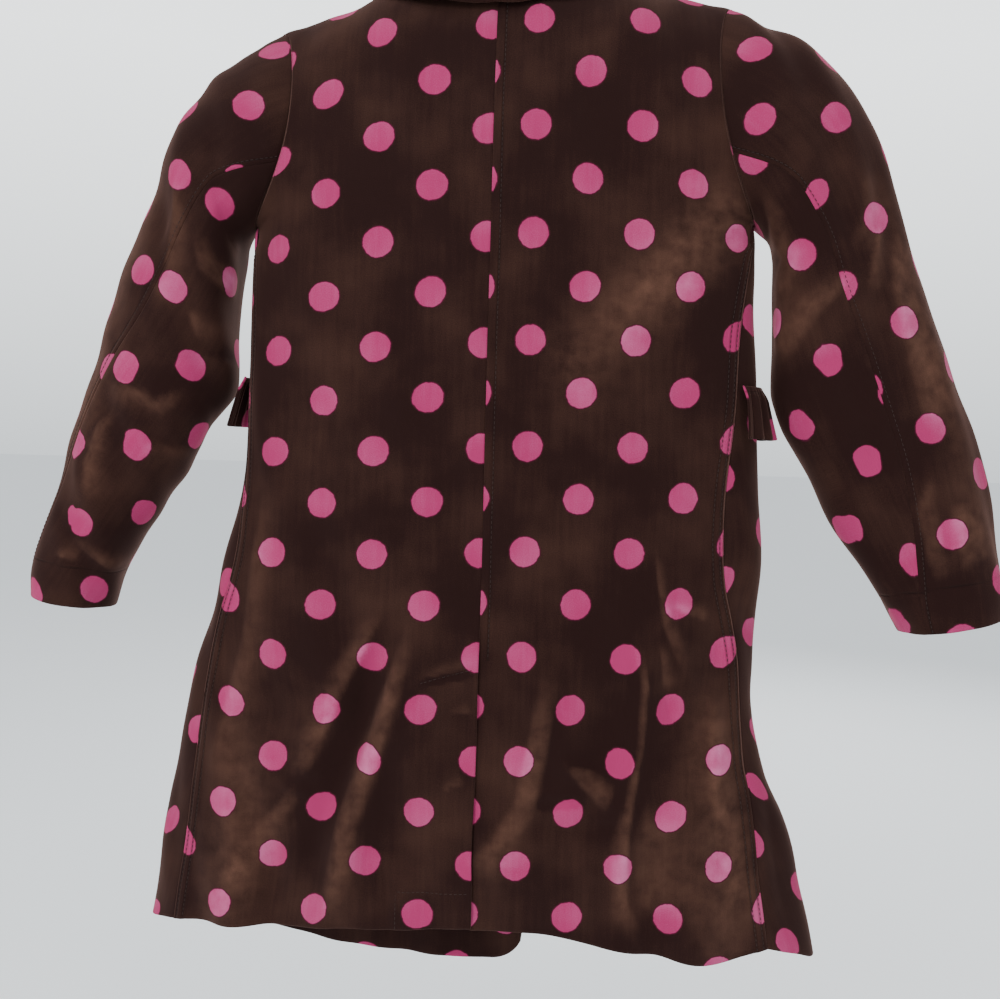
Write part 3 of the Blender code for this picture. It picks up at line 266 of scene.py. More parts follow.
# Pressed folds, each with painted highlight or painted shade along it: face, line of (x, drop) points
# from the top down, half-width (below 0 with its crisp edge on the other side), height, and how much
# painted highlight (+) or painted shade (-) goes into the colour there
BANDS = [
    ("back", [(0.066, 0.497), (0.081, 0.526), (0.102, 0.572), (0.120, 0.611)], -0.0050, 0.0012, 0.42),
    ("back", [(0.071, 0.520), (0.079, 0.561), (0.101, 0.610), (0.115, 0.617)], 0.0055, -0.0012, -0.22),
    ("back", [(0.045, 0.505), (0.064, 0.572), (0.084, 0.635), (0.093, 0.705)], 0.0062, 0.0014, 0.46),
    ("back", [(0.040, 0.520), (0.053, 0.572), (0.072, 0.640), (0.079, 0.705)], 0.0050, -0.0010, -0.18),
    ("back", [(0.117, 0.614), (0.137, 0.642), (0.172, 0.690)], 0.0065, 0.0008, 0.32),
    ("back", [(0.036, 0.537), (0.003, 0.527)], 0.0022, 0.0006, 0.25),
    ("back", [(0.039, 0.542), (0.002, 0.532)], 0.0026, -0.0007, -0.30),
    ("back", [(0.018, 0.559), (0.004, 0.557)], 0.0018, 0.0005, 0.22),
    ("back", [(0.021, 0.609), (0.007, 0.603)], 0.0018, 0.0005, 0.22),
    (
        "back",
        [(-0.045, 0.528), (-0.039, 0.579), (-0.032, 0.620), (-0.017, 0.645), (-0.001, 0.665)],
        0.0072, 0.0012, 0.40,
    ),
    ("back", [(-0.054, 0.540), (-0.050, 0.579), (-0.043, 0.622), (-0.028, 0.648)], 0.0038, -0.0010, -0.22),
    ("back", [(-0.060, 0.590), (-0.089, 0.615)], 0.0050, 0.0010, 0.42),
    ("back", [(-0.055, 0.584), (-0.086, 0.593)], 0.0032, -0.0009, -0.28),
    ("back", [(-0.037, 0.618), (-0.070, 0.612)], 0.0036, -0.0009, -0.26),
    (
        "back",
        [(-0.105, 0.515), (-0.108, 0.537), (-0.106, 0.575), (-0.097, 0.635), (-0.098, 0.680), (-0.106, 0.697)],
        -0.0030, 0.0012, 0.50,
    ),
    ("back", [(-0.098, 0.522), (-0.101, 0.540), (-0.099, 0.575), (-0.089, 0.640)], 0.0042, -0.0012, -0.24),
    ("back", [(-0.112, 0.450), (-0.116, 0.478), (-0.120, 0.497), (-0.133, 0.526)], 0.0024, 0.0006, 0.30),
    ("back", [(-0.117, 0.510), (-0.122, 0.540)], 0.0020, 0.0005, 0.28),
    ("back", [(-0.121, 0.484), (-0.148, 0.493)], 0.0025, 0.0006, 0.26),
    ("back", [(-0.114, 0.610), (-0.119, 0.690)], 0.0120, 0.0004, 0.28),
    ("back", [(0.150, 0.420), (0.158, 0.520), (0.180, 0.620)], 0.0060, 0.0008, 0.24),
    ("back", [(-0.150, 0.540), (-0.160, 0.620), (-0.178, 0.690)], 0.0070, 0.0008, 0.30),
    ("front", [(0.075, 0.500), (0.082, 0.570), (0.077, 0.640)], 0.0050, 0.0012, 0.36),
    ("front", [(0.110, 0.540), (0.121, 0.610), (0.119, 0.690)], -0.0060, 0.0012, 0.32),
    ("front", [(-0.062, 0.500), (-0.070, 0.580), (-0.082, 0.650)], 0.0055, 0.0012, 0.34),
    ("front", [(-0.112, 0.520), (-0.120, 0.600), (-0.114, 0.680)], -0.0060, 0.0012, 0.32),
    ("sleeve_back", [(0.207, 0.214), (0.209, 0.247), (0.212, 0.278), (0.227, 0.299)], 0.0045, 0.0010, 0.32),
    ("sleeve_back", [(0.195, 0.253), (0.191, 0.272), (0.180, 0.282), (0.167, 0.292)], 0.0050, 0.0014, 0.42),
    ("sleeve_back", [(0.180, 0.251), (0.172, 0.266), (0.169, 0.278)], -0.0036, 0.0012, 0.36),
    ("sleeve_back", [(0.201, 0.301), (0.193, 0.319)], 0.0030, 0.0010, 0.34),
    ("sleeve_back", [(0.205, 0.353), (0.222, 0.364), (0.231, 0.360), (0.257, 0.353)], 0.0042, 0.0014, 0.40),
    ("sleeve_back", [(0.197, 0.326), (0.175, 0.331), (0.168, 0.342)], 0.0045, -0.0014, -0.22),
    ("sleeve_back", [(0.255, 0.369), (0.266, 0.384), (0.270, 0.405), (0.268, 0.431)], 0.0036, 0.0014, 0.38),
    ("sleeve_back", [(0.281, 0.457), (0.267, 0.471), (0.261, 0.479)], 0.0030, 0.0012, 0.34),
    ("sleeve_back", [(0.296, 0.468), (0.279, 0.469)], 0.0030, 0.0010, 0.28),
    ("sleeve_back", [(0.209, 0.395), (0.235, 0.396)], 0.0040, 0.0010, 0.22),
    (
        "sleeve_back",
        [(-0.172, 0.222), (-0.180, 0.235), (-0.190, 0.260), (-0.188, 0.278), (-0.178, 0.296)],
        0.0034, 0.0014, 0.36,
    ),
    ("sleeve_back", [(-0.226, 0.272), (-0.202, 0.297), (-0.184, 0.325)], -0.0060, 0.0014, 0.36),
    ("sleeve_back", [(-0.245, 0.239), (-0.241, 0.260), (-0.240, 0.283)], 0.0022, 0.0010, 0.34),
    ("sleeve_back", [(-0.232, 0.208), (-0.239, 0.231), (-0.231, 0.260)], 0.0055, 0.0008, 0.24),
    (
        "sleeve_back",
        [(-0.257, 0.241), (-0.258, 0.277), (-0.270, 0.319), (-0.289, 0.369)],
        0.0065, 0.0012, 0.40,
    ),
    ("sleeve_back", [(-0.281, 0.399), (-0.278, 0.419), (-0.292, 0.467)], 0.0036, 0.0012, 0.32),
    ("sleeve_back", [(-0.298, 0.412), (-0.315, 0.453)], 0.0100, 0.0006, 0.34),
    ("sleeve_back", [(-0.215, 0.320), (-0.255, 0.400)], 0.0160, -0.0004, -0.18),
    ("sleeve_front", [(0.180, 0.270), (0.192, 0.330), (0.212, 0.380)], 0.0055, 0.0010, 0.30),
    ("sleeve_front", [(-0.186, 0.270), (-0.200, 0.330), (-0.218, 0.380)], 0.0055, 0.0010, 0.30),
]

# Dots of the print: one diameter, on a half-drop lattice
DOT_RADIUS = 0.0097
DOT_STEP = 0.034  # half the repeat, across and down
# Dots that show from behind, read in the photo and set at their real places: across from the
# middle, below the rail, then the column and the row of the print that the dot has
PRINT_DOTS = {
    "back_left": [(0.003, 0.118, 0, 0), (0.001, 0.657, 0, 16), (0.143, 0.394, 4, 8)],
    "back_right": [(-0.027, 0.115, 1, 1), (-0.028, 0.656, 1, 17), (-0.128, 0.416, 4, 10)],
    "front_left": [(0.197, 0.585, 0, 0)],
    "front_right": [(-0.177, 0.504, 0, 0)],
    "sleeve_left_upper": [(0.162, 0.168, 0, 0), (0.234, 0.275, 0, 4)],
    "sleeve_left_under": [(0.202, 0.336, 0, 0), (0.315, 0.496, 0, 6), (0.241, 0.439, 1, 3)],
    "sleeve_right_upper": [(-0.162, 0.133, 0, 0), (-0.297, 0.433, 0, 10)],
    "sleeve_right_under": [(-0.214, 0.325, 0, 0), (-0.275, 0.452, 0, 4)],
}
DOT_REACH = 0.004  # how near a grid point has to lie to a dot's place
WALL_REACH = 0.008  # how far in front of the rearmost such point it may lie
COLLAR_PRINT_DROP = 0.010

STITCH_LENGTH, STITCH_GAP, THREAD_RADIUS = 0.0024, 0.0008, 0.00022
TOPSTITCH = 0.006  # from a seam to its topstitching
HEM_DEPTH = 0.029
SEEN_WORLD = 2.5  # strength of the pale room as the camera sees it

# ---------------------------------------------------------------- curves


def smooth(t):
    """0 below 0, 1 above 1, and 3t^2 - 2t^3 between."""
    t = np.clip(t, 0, 1)
    return t * t * (3 - 2 * t)


def through(x, knots, values):
    """Cubic pieces through the values, sharing the mean slope at each knot."""
    knots = np.asarray(knots, float)
    values = np.asarray(values, float)
    slopes = np.gradient(values, knots)
    i = np.clip(np.searchsorted(knots, x) - 1, 0, len(knots) - 2)
    width = knots[i + 1] - knots[i]
    t = np.clip((x - knots[i]) / width, 0, 1)
    start = (1 + 2 * t) * (1 - t) ** 2 * values[i] + t * (1 - t) ** 2 * width * slopes[i]
    end = t * t * (3 - 2 * t) * values[i + 1] + t * t * (t - 1) * width * slopes[i + 1]
    return start + end


def signed_power(value, power):
    """The power of the size, with the sign kept."""
    return np.sign(value) * np.abs(value) ** power


def unit(vectors):
    """The same directions, one long."""
    return vectors / np.maximum(np.linalg.norm(vectors, axis=-1, keepdims=True), 1e-9)


def finer(knots, times):
    """The same steps, each cut into equal parts."""
    places = np.linspace(0, len(knots) - 1, (len(knots) - 1) * times + 1)
    return np.interp(places, np.arange(len(knots)), knots)


def line_weight(entry, x, drop):
    """Ridge along a line: exp(-(distance aside / half-width)^2), its ends faded by smooth steps."""
    _, x0, d0, x1, d1, half_width, _ = entry
    along_x, along_d = x1 - x0, d1 - d0
    length = math.hypot(along_x, along_d)
    place = ((x - x0) * along_x + (drop - d0) * along_d) / length**2
    aside = ((x - x0) * along_d - (drop - d0) * along_x) / length
    start = smooth((place + FOLD_OVERRUN) / FOLD_TAPER)
    end = smooth((1 + FOLD_OVERRUN - place) / FOLD_TAPER)
    return start * end * np.exp(-((aside / half_width) ** 2))


def line_sum(entries, face, x, drop):
    """The sum of the entries of one face at each place."""
    total = np.zeros(np.broadcast(x, drop).shape)
    for entry in entries:
        if entry[0] == face:
            total += entry[-1] * line_weight(entry, x, drop)
    return total


def band_sum(face, x, drop, column):
    """Bands along bent lines that start thin and end wide, times one column.

    One side is crisp, exp(-(distance / width)^4), and the other soft, exp(-(distance / softness
    width)^2). A negative width puts the crisp side on the left of the way down.
    """
    total = np.zeros(np.broadcast(x, drop).shape)
    for band in BANDS:
        if band[0] != face:
            continue
        points, width = band[1], band[2]
        distance, aside, along = np.full(total.shape, 1.0), total * 0, total * 0
        for step, ((x0, d0), (x1, d1)) in enumerate(zip(points[:-1], points[1:])):
            run_x, run_d = x1 - x0, d1 - d0
            place = ((x - x0) * run_x + (drop - d0) * run_d) / (run_x**2 + run_d**2)
            place = np.clip(place, 0, 1)
            off_x, off_d = x - x0 - place * run_x, drop - d0 - place * run_d
            nearer = np.hypot(off_x, off_d) < distance
            distance = np.where(nearer, np.hypot(off_x, off_d), distance)
            aside = np.where(nearer, off_x * run_d - off_d * run_x, aside)
            along = np.where(nearer, (step + place) / (len(points) - 1), along)
        size = abs(width) * (BAND_START + (BAND_END - BAND_START) * along)
        crisp = np.exp(-((distance / size) ** 4))
        soft = np.exp(-((distance / (BAND_SOFTNESS * size)) ** 2))
        fade = smooth((along + 0.05) / 0.3) * smooth((1.05 - along) / 0.25)
        total += band[column] * np.where(aside * width > 0, crisp, soft) * fade
    return total


def waves(x, drop):
    """Sum of sines that lean a little, so no two troughs are alike."""
    total = 0
    for across, down, phase, height in WAVES:
        total = total + height * np.sin(2 * math.pi * (x / across + drop / down) + phase)
        total = total + height / 2 * np.sin(2 * math.pi * (drop / across / 2 - x / down) + 2 * phase)
    return total


# ---------------------------------------------------------------- body


def section(side, drop):
    """Edge, side seam, back reach and front reach of the body at each drop."""
    edge = {"left": 1, "right": 3}[side]
    columns = (edge, edge + 1, 5, 6)
    return [through(drop, SECTIONS[:, 0], SECTIONS[:, column]) for column in columns]


def reaches(face, drop):
    """How far the body reaches on this face and on the other one."""
    back, front = [through(drop, SECTIONS[:, 0], SECTIONS[:, column]) for column in (5, 6)]
    return (back, front) if face == "back" else (front, back)


def seam_y(side, drop):
    """Where the side seam lies, front to back."""
    edge, seam, back, _ = section(side, drop)
    return back * (1 - (seam / edge) ** SECTION_POWER) ** (1 / SECTION_POWER)


def armhole(side, angle):
    """x, y and drop by cosine and sine of the angle round the armhole, pulled in by the scoop."""
    down = (1 - np.cos(angle)) / 2
    drop = TIP_DROP[side] + (PIT_DROP[side] - TIP_DROP[side]) * down
    behind = np.sin(angle) >= 0
    bend = np.where(np.cos(angle) > 0, SCOOP_BENDS[0], SCOOP_BENDS[1])
    scoop = np.where(behind, ARMHOLE_SCOOP[side], FRONT_SCOOP) * np.abs(np.sin(angle)) ** bend
    pit = section(side, PIT_DROP[side])[1]
    x = TIP_HALF + (pit - TIP_HALF) * down - scoop
    reach = np.where(behind, ARMHOLE_BACK, ARMHOLE_FRONT)
    y = seam_y(side, PIT_DROP[side]) * down + reach * np.sin(angle)
    return np.stack([SIDES[side] * x, y, -drop], axis=-1)


def armhole_mitre(side, angle):
    """The direction in which the armhole edge of a panel and a sleeve meet."""
    pit = np.clip(-np.cos(angle), 0, 1) ** 2
    return unit(np.stack([SIDES[side] * PIT_LEAN * pit, np.sin(angle), np.cos(angle)], axis=-1))


def solid_rows(side, face, loop_angles, below_rows):
    """For each row of a panel: share of the way down, angle of its edge and size of its section."""
    hem_end = HEMS[side, face][-1][1]
    to_pit = (PIT_DROP[side] - TIP_DROP[side]) / (hem_end - TIP_DROP[side])
    above = (1 - np.cos(loop_angles)) / 2 * to_pit
    below = to_pit + (1 - to_pit) * np.arange(1, below_rows + 1) / below_rows
    down = np.concatenate([above, below])
    drop = TIP_DROP[side] + (hem_end - TIP_DROP[side]) * down
    seam = section(side, drop)[1]
    near, far = reaches(face, drop)
    count = len(loop_angles)
    loop = armhole(side, loop_angles * FACES[face])
    edge_x = np.concatenate([np.abs(loop[:, 0]), seam[count:]])
    edge_y = np.concatenate([loop[:, 1], seam_y(side, drop)[count:]])
    toward = edge_y * FACES[face]
    cosine = signed_power(toward / np.where(toward > 0, near, far), SECTION_POWER / 2)
    angle = np.arccos(np.clip(cosine, -1, 1))
    width = edge_x / np.sin(angle) ** (2 / SECTION_POWER)
    return {"down": down, "angle": angle, "width": width}


def rows_of(side, face):
    """The solid's few rows, joined by cubics down the panel, so that no row shows as a crease."""
    few = solid_rows(side, face, ARMHOLE_ANGLES, SOLID_ROWS)
    down = solid_rows(side, face, finer(ARMHOLE_ANGLES, FINER), BODY_ROWS)["down"]
    return {
        "down": down,
        "angle": through(down, few["down"], few["angle"]),
        "width": through(down, few["down"], few["width"]),
    }


def share_at(x, row_width, row_angle):
    """The share of a row, from the middle to its edge, at a place across."""
    sine = signed_power(x / row_width, SECTION_POWER / 2)
    return np.arcsin(np.clip(sine, -1, 1)) / row_angle


def neck_share_of(side, face):
    """The share of the top row that the neck takes."""
    rows = rows_of(side, face)
    return float(share_at(NECK_HALF, rows["width"][0], rows["angle"][0]))


def top_edge(side, face, share, neck_share, x):
    """Neck: a cosine squared dip between the neck points. Shoulder: straight to the tip."""
    neck_drop, reach = (BACK_NECK_DROP, BACK_NECK_REACH)
    if face == "front":
        neck_drop, reach = (FRONT_NECK_DROP, FRONT_NECK_REACH)
    round_neck = np.cos(math.pi / 2 * np.clip(share / neck_share, 0, 1))
    along = np.clip((np.abs(x) - NECK_HALF) / (TIP_HALF - NECK_HALF), 0, 1)
    shoulder = NECK_DROP[side] + (TIP_DROP[side] - NECK_DROP[side]) * along
    neck = NECK_DROP[side] + (neck_drop - NECK_DROP[side]) * round_neck**2
    neck = neck + LAP_NECK_STEP * smooth(-x / LAP_NECK_RUN)
    drop = np.where(share < neck_share, neck, shoulder)
    return drop, np.where(share < neck_share, FACES[face] * reach * round_neck, 0.0)


def hem_drop(side, face, share):
    """The drop of the hem at a share of the width."""
    table = np.array(HEMS[side, face], float)
    return through(np.clip(share, 0, 1), table[:, 0], table[:, 1])


def corner_lift(x):
    """How far the rounded lower corner of the under lap rises."""
    inside = np.clip(x + FRONT_LAP, 0, FRONT_CORNER_RADIUS)
    return FRONT_CORNER_RADIUS - np.sqrt(FRONT_CORNER_RADIUS**2 - (FRONT_CORNER_RADIUS - inside) ** 2)


def body_surface(side, face, shares):
    """Rows of a rounded section: x = width sin(a)^(2/n), y = reach cos(a)^(2/n), from neck to hem."""
    rows = {name: values[:, None] for name, values in rows_of(side, face).items()}
    neck_share = share_at(NECK_HALF, rows["width"][0], rows["angle"][0])
    angle = rows["angle"] * shares
    x = rows["width"] * signed_power(np.sin(angle), 2 / SECTION_POWER)
    top_drop, top_y = top_edge(side, face, shares, neck_share, x)
    bottom = hem_drop(side, face, shares)
    if face == "front":
        bottom = bottom - corner_lift(x)
    drop = top_drop + (bottom - top_drop) * rows["down"]
    near, far = reaches(face, drop)
    reach = np.where(np.cos(angle) > 0, near, far)
    y = FACES[face] * reach * signed_power(np.cos(angle), 2 / SECTION_POWER)
    rounding = NECK_ROUNDING + (SHOULDER_ROUNDING - NECK_ROUNDING) * smooth(shares / neck_share)
    part = np.clip((drop - top_drop) / rounding, 0, 1)
    y = top_y + (y - top_y) * np.sqrt(1 - (1 - part) ** 2)
    return np.stack([SIDES[side] * x, y, -drop], axis=-1)


def lap_lift(side, face, x, drop):
    """How far an upper lap lies out from the one below it, or an under lap lies in."""
    if (side, face) == ("left", "back"):
        across = smooth((VENT_WIDTH + VENT_FADE - x) / VENT_FADE)
        return LAP_LIFT * across * smooth((drop - VENT_DROP + VENT_RUN) / VENT_RUN)
    if (side, face) == ("left", "front"):
        return -FRONT_LAP_LIFT * smooth((FRONT_LAP + FRONT_LAP_FADE - x) / FRONT_LAP_FADE)
    return np.zeros(np.shape(x))


def normals_of(points, sign):
    """The directions across a grid, on the side that the sign gives."""
    return unit(np.cross(np.gradient(points, axis=1), np.gradient(points, axis=0)) * sign)


def arc(points, axis, parts=(0, 1, 2)):
    """Running length along one axis of a grid, using some of the coordinates."""
    steps = np.linalg.norm(np.diff(points[..., list(parts)], axis=axis), axis=-1)
    pad = [(1, 0) if i == axis else (0, 0) for i in range(2)]
    return np.cumsum(np.pad(steps, pad), axis=axis)


# ---------------------------------------------------------------- shells


def shell(name, outer, normals, keep=None, thickness=CLOTH, layers=None, faced=None):
    """Closed thin shell: the grid, the grid moved in along its normals, and a half-round rim.

    The rim's rings are c + n T/2 cos(a) + away r sin(a) for a = 45, 90 and 135 degrees, where away
    points off the cloth's edge and r is the rounding. The cloth's own face shows on the inside
    where faced is true, and its lining elsewhere.
    """
    rows, columns = outer.shape[:2]
    if keep is None:
        keep = np.ones((rows - 1, columns - 1), bool)
    index = np.arange(rows * columns).reshape(rows, columns)
    row, column = np.nonzero(keep)
    corners = [(row, column), (row + 1, column), (row + 1, column + 1), (row, column + 1)]
    cells = np.stack([index[corner] for corner in corners], axis=1)
    top = outer.reshape(-1, 3).copy()
    normal = normals.reshape(-1, 3)
    facing = np.cross(top[cells[:, 1]] - top[cells[:, 0]], top[cells[:, 3]] - top[cells[:, 0]])
    if (facing * normal[cells[:, 0]]).sum() < 0:
        cells = cells[:, ::-1]
    edges = np.concatenate([cells[:, [i, (i + 1) % 4]] for i in range(4)])
    code = edges[:, 0] * rows * columns + edges[:, 1]
    reverse = edges[:, 1] * rows * columns + edges[:, 0]
    rim = edges[~np.isin(code, reverse)]
    away = np.zeros_like(top)
    outward = unit(np.cross(top[rim[:, 1]] - top[rim[:, 0]], normal[rim[:, 0]]))
    for end in (0, 1):
        np.add.at(away, rim[:, end], outward)
    away = unit(away)
    on_rim = np.unique(rim)
    top[on_rim] -= away[on_rim] * EDGE_ROUND
    under = top - normal * thickness
    rings = [top]
    for turn in np.radians([45, 90, 135]):
        reach = (EDGE_ROUND + SEAM_CLOSE) * np.sin(turn)
        ring = top + normal * thickness * (np.cos(turn) - 1) / 2 + away * reach
        rings.append(ring)
    rings.append(under)
    size = rows * columns
    faces = [cells, cells[:, ::-1] + 4 * size]
    for level in range(4):
        low, high = level * size, (level + 1) * size
        faces.append(np.stack([rim[:, 1] + low, rim[:, 0] + low, rim[:, 0] + high, rim[:, 1] + high], 1))
    lined = np.ones(len(cells), int)
    if faced is not None:
        lined[faced[row, column]] = 0
    inside = np.concatenate([np.zeros(len(cells), int), lined])
    inside = np.concatenate([inside, np.zeros(4 * len(rim), int)])
    faces = np.concatenate(faces)
    points = np.concatenate(rings)
    used, faces = np.unique(faces, return_inverse=True)
    mesh = grid_mesh(name, points[used], faces.reshape(-1, 4))
    mesh.polygons.foreach_set("material_index", inside.astype(np.int32))
    for key, values in (layers or {}).items():
        flat = np.tile(values.reshape(size, -1), (5, 1))[used]
        kind = "FLOAT" if flat.shape[1] == 1 else "FLOAT_VECTOR"
        layer = mesh.attributes.new(key, kind, "POINT")
        layer.data.foreach_set("value" if kind == "FLOAT" else "vector", flat.astype(np.float32).ravel())
    return add_piece(name, mesh)


def grid_mesh(name, points, faces):
    """A mesh from whole arrays of points and four-cornered faces."""
    mesh = bpy.data.meshes.new(name)
    mesh.vertices.add(len(points))
    mesh.vertices.foreach_set("co", points.astype(np.float32).ravel())
    mesh.loops.add(faces.size)
    mesh.loops.foreach_set("vertex_index", faces.astype(np.int32).ravel())
    mesh.polygons.add(len(faces))
    mesh.polygons.foreach_set("loop_start", np.arange(0, faces.size, 4, dtype=np.int32))
    mesh.update(calc_edges=True)
    mesh.validate()
    mesh.shade_smooth()
    return mesh


def add_piece(name, mesh):
    """A piece of the scene that stays with the one rigid body."""
    piece = bpy.data.objects.new(name, mesh)
    bpy.context.scene.collection.objects.link(piece)
    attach(piece, "root")
    return piece


# ---------------------------------------------------------------- cloth pieces


def seen_from_behind(outer, across, drop):
    """The grid place of a piece that shows from behind at a real place."""
    off = np.hypot(outer[..., 0] - across, outer[..., 2] + drop)
    near = off < off.min() + DOT_REACH
    rearmost = outer[..., 1][near].max()
    near &= outer[..., 1] > rearmost - WALL_REACH
    return np.unravel_index(np.argmin(np.where(near, off, np.inf)), off.shape)


def lay_print(piece, outer, flat):
    """Lays a flat piece on the print, so that its named dots are where the photo shows them.

    Three dots also set the stretch, two set the turn and the scale, and one the shift alone.
    """
    dots = PRINT_DOTS.get(piece)
    if dots is None:
        return flat
    here = [flat[seen_from_behind(outer, across, drop)] for across, drop, _, _ in dots]
    there = [DOT_STEP * np.array([column, row]) for _, _, column, row in dots]
    if len(dots) == 1:
        return flat + there[0] - here[0]
    if len(dots) == 2:
        for ends in (here, there):
            way = ends[1] - ends[0]
            ends.append(ends[0] + np.array([way[1], -way[0]]))
    laid = np.linalg.solve(np.column_stack([here, np.ones(3)]), there)
    return flat @ laid[:2] + laid[2]


def cloth_layers(piece, outer, anchor_row, anchor_column, turn_to_drop, painted_sheen_and_shade, lines):
    """Flat coordinates of each point for the print, the painted highlight and shade, and the nearest stitch
    line.

    Across is the length along each row from the anchor column. Down is the length along each
    column, set level at the anchor row, or equal to the drop there. Pieces that bend both ways,
    whose down isn't set to the drop, are then flattened.
    """
    across = arc(outer, 1, (0, 1))
    across = across - across[:, anchor_column : anchor_column + 1]
    down = arc(outer, 0, (1, 2) if turn_to_drop else (0, 1, 2))
    if turn_to_drop:
        down = down - down[anchor_row : anchor_row + 1] - outer[anchor_row : anchor_row + 1, :, 2]
    else:
        down = down - down[anchor_row : anchor_row + 1] + down[anchor_row, anchor_column]
        across = arc(outer, 1)
        across = across - across[:, anchor_column : anchor_column + 1]
        across, down = flattened(outer, np.stack([across, down], axis=-1))
    if piece == "collar":
        down = down + COLLAR_PRINT_DROP
    flat = lay_print(piece, outer, np.stack([across, down], axis=-1))
    return {
        "cloth": np.concatenate([flat, 0 * flat[..., :1]], axis=-1),
        "painted_sheen_and_shade": painted_sheen_and_shade,
        "stitch": lines,
    }


def flattened(outer, start):
    """Lays a curved piece out flat, as its cut piece of cloth lay.

    On a coarser grid, each pass measures every short length down, across and on both slants, and
    moves its two ends towards its true length. The finer points are mixed from the coarse ones.
    """
    rows = np.unique(np.linspace(0, outer.shape[0] - 1, FLAT_GRID[0]).astype(int))
    columns = np.unique(np.linspace(0, outer.shape[1] - 1, FLAT_GRID[1]).astype(int))
    solid, flat = outer[np.ix_(rows, columns)], start[np.ix_(rows, columns)].copy()
    every, first, last = slice(None), slice(None, -1), slice(1, None)
    pairs = [
        ((first, every), (last, every)),
        ((every, first), (every, last)),
        ((first, first), (last, last)),
        ((first, last), (last, first)),
    ]
    lengths = [np.linalg.norm(solid[b] - solid[a], axis=-1) for a, b in pairs]
    for _ in range(FLAT_PASSES):
        move = np.zeros_like(flat)
        for (a, b), length in zip(pairs, lengths):
            way = flat[b] - flat[a]
            now = np.linalg.norm(way, axis=-1)
            pull = way * ((now - length) / now)[..., None] * FLAT_STEP
            move[a] += pull
            move[b] -= pull
        flat += move
    tall = np.arange(outer.shape[0])
    down = [np.interp(tall, rows, flat[:, c, i]) for c in range(len(columns)) for i in (0, 1)]
    down = np.array(down).reshape(len(columns), 2, -1)
    wide = np.arange(outer.shape[1])
    mixed = [[np.interp(wide, columns, down[:, i, r]) for r in range(outer.shape[0])] for i in (0, 1)]
    return np.array(mixed)


def stitch_distance(outer, columns=(), rows=()):
    """Distance to the nearest line sewn at a fixed distance from a side edge or from the hem."""
    nearest = np.full(outer.shape[:2], 1.0)
    across = arc(outer, 1)
    down = arc(outer, 0)
    for edge, distance in columns:
        from_edge = across if edge == "first" else across[:, -1:] - across
        nearest = np.minimum(nearest, np.abs(from_edge - distance))
    for distance in rows:
        nearest = np.minimum(nearest, np.abs(down[-1:] - down - distance))
    return nearest


def relief(face, outer, sign):
    """Folds, creases and slow waves, along the normals; all but the folds fade out at the seams."""
    x, drop = outer[..., 0], -outer[..., 2]
    across, down = arc(outer, 1), arc(outer, 0)
    calm = smooth((across[:, -1:] - across) / SEAM_CALM) * smooth(down / SEAM_CALM)
    height = (line_sum(CREASES, face, x, drop) + band_sum(face, x, drop, 3) + waves(x, drop)) * calm
    height = height + line_sum(FOLDS, face, x, drop)
    return outer + normals_of(outer, sign) * height[..., None]


def onto_loop(outer, side, face):
    """Moves the panel's armhole edge onto the sleeve's own curve, fading out across the cloth."""
    count = (len(ARMHOLE_ANGLES) - 1) * FINER + 1
    loop = armhole(side, finer(ARMHOLE_ANGLES, FINER) * FACES[face])
    shift = np.zeros((len(outer), 3))
    shift[:count] = loop - outer[:count, -1]
    across = arc(outer, 1)
    fade = 1 - smooth((across[:, -1:] - across) / LOOP_FADE)
    return outer + shift[:, None] * fade[..., None]


def panel(side, face):
    """Outer grid, normals, and the index of the column at the centre."""
    neck = neck_share_of(side, face)
    if face == "back":
        shares = np.concatenate([np.linspace(0, neck, 46), np.linspace(neck, 1, 86)[1:]])[None, :]
        centre = 0
    else:
        rows = rows_of(side, face)
        inner = np.concatenate([np.linspace(0, neck, 46), np.linspace(neck, 1, 84)[1:]])
        parts = np.linspace(1, 0, 19)[:-1]
        lap = np.stack([share_at(-FRONT_LAP * p, rows["width"], rows["angle"]) for p in parts], axis=1)
        shares = np.concatenate([lap, np.broadcast_to(inner, (len(rows["down"]), len(inner)))], axis=1)
        centre = len(parts)
    sign = SIDES[side] * FACES[face]
    outer = relief(face, body_surface(side, face, shares), sign)
    if (side, face) == ("right", "back"):
        rows = rows_of(side, face)
        parts = np.linspace(1, 0, 19)[:-1]
        lap_shares = np.stack(
            [share_at(-VENT_WIDTH * p, rows["width"], rows["angle"]) for p in parts], axis=1
        )
        lap = body_surface(side, face, lap_shares)
        lap[..., 2] = body_surface(side, face, np.zeros((1, 1)))[..., 2]
        outer = np.concatenate([relief(face, lap, sign), outer], axis=1)
        centre = len(parts)
    outer = onto_loop(outer, side, face)
    x, drop = outer[..., 0] * SIDES[side], -outer[..., 2]
    lift = lap_lift(side, face, x, drop)
    if face == "back":
        across = arc(outer, 1)
        inside = smooth((SEAM_LAP_WIDTH - across[:, -1:] + across) / (SEAM_LAP_WIDTH / 4))
        lift = lift + SEAM_LAP * inside * smooth((drop - PIT_DROP[side]) / SEAM_LAP_WIDTH)
    outer = outer + normals_of(outer, sign) * lift[..., None]
    normals = normals_of(outer, sign)
    count = (len(ARMHOLE_ANGLES) - 1) * FINER + 1
    shoulder = np.broadcast_to(shares, (outer.shape[0], shares.shape[1]))[0] >= neck - 1e-6
    shoulder = np.concatenate([np.zeros(outer.shape[1] - len(shoulder), bool), shoulder])
    normals[0, shoulder, 1] = 0
    normals[0] = unit(normals[0])
    loop = finer(ARMHOLE_ANGLES, FINER) * FACES[face]
    normals[1:count, -1] = unit(normals[1:count, -1] + armhole_mitre(side, loop)[1:])
    return outer, normals, centre


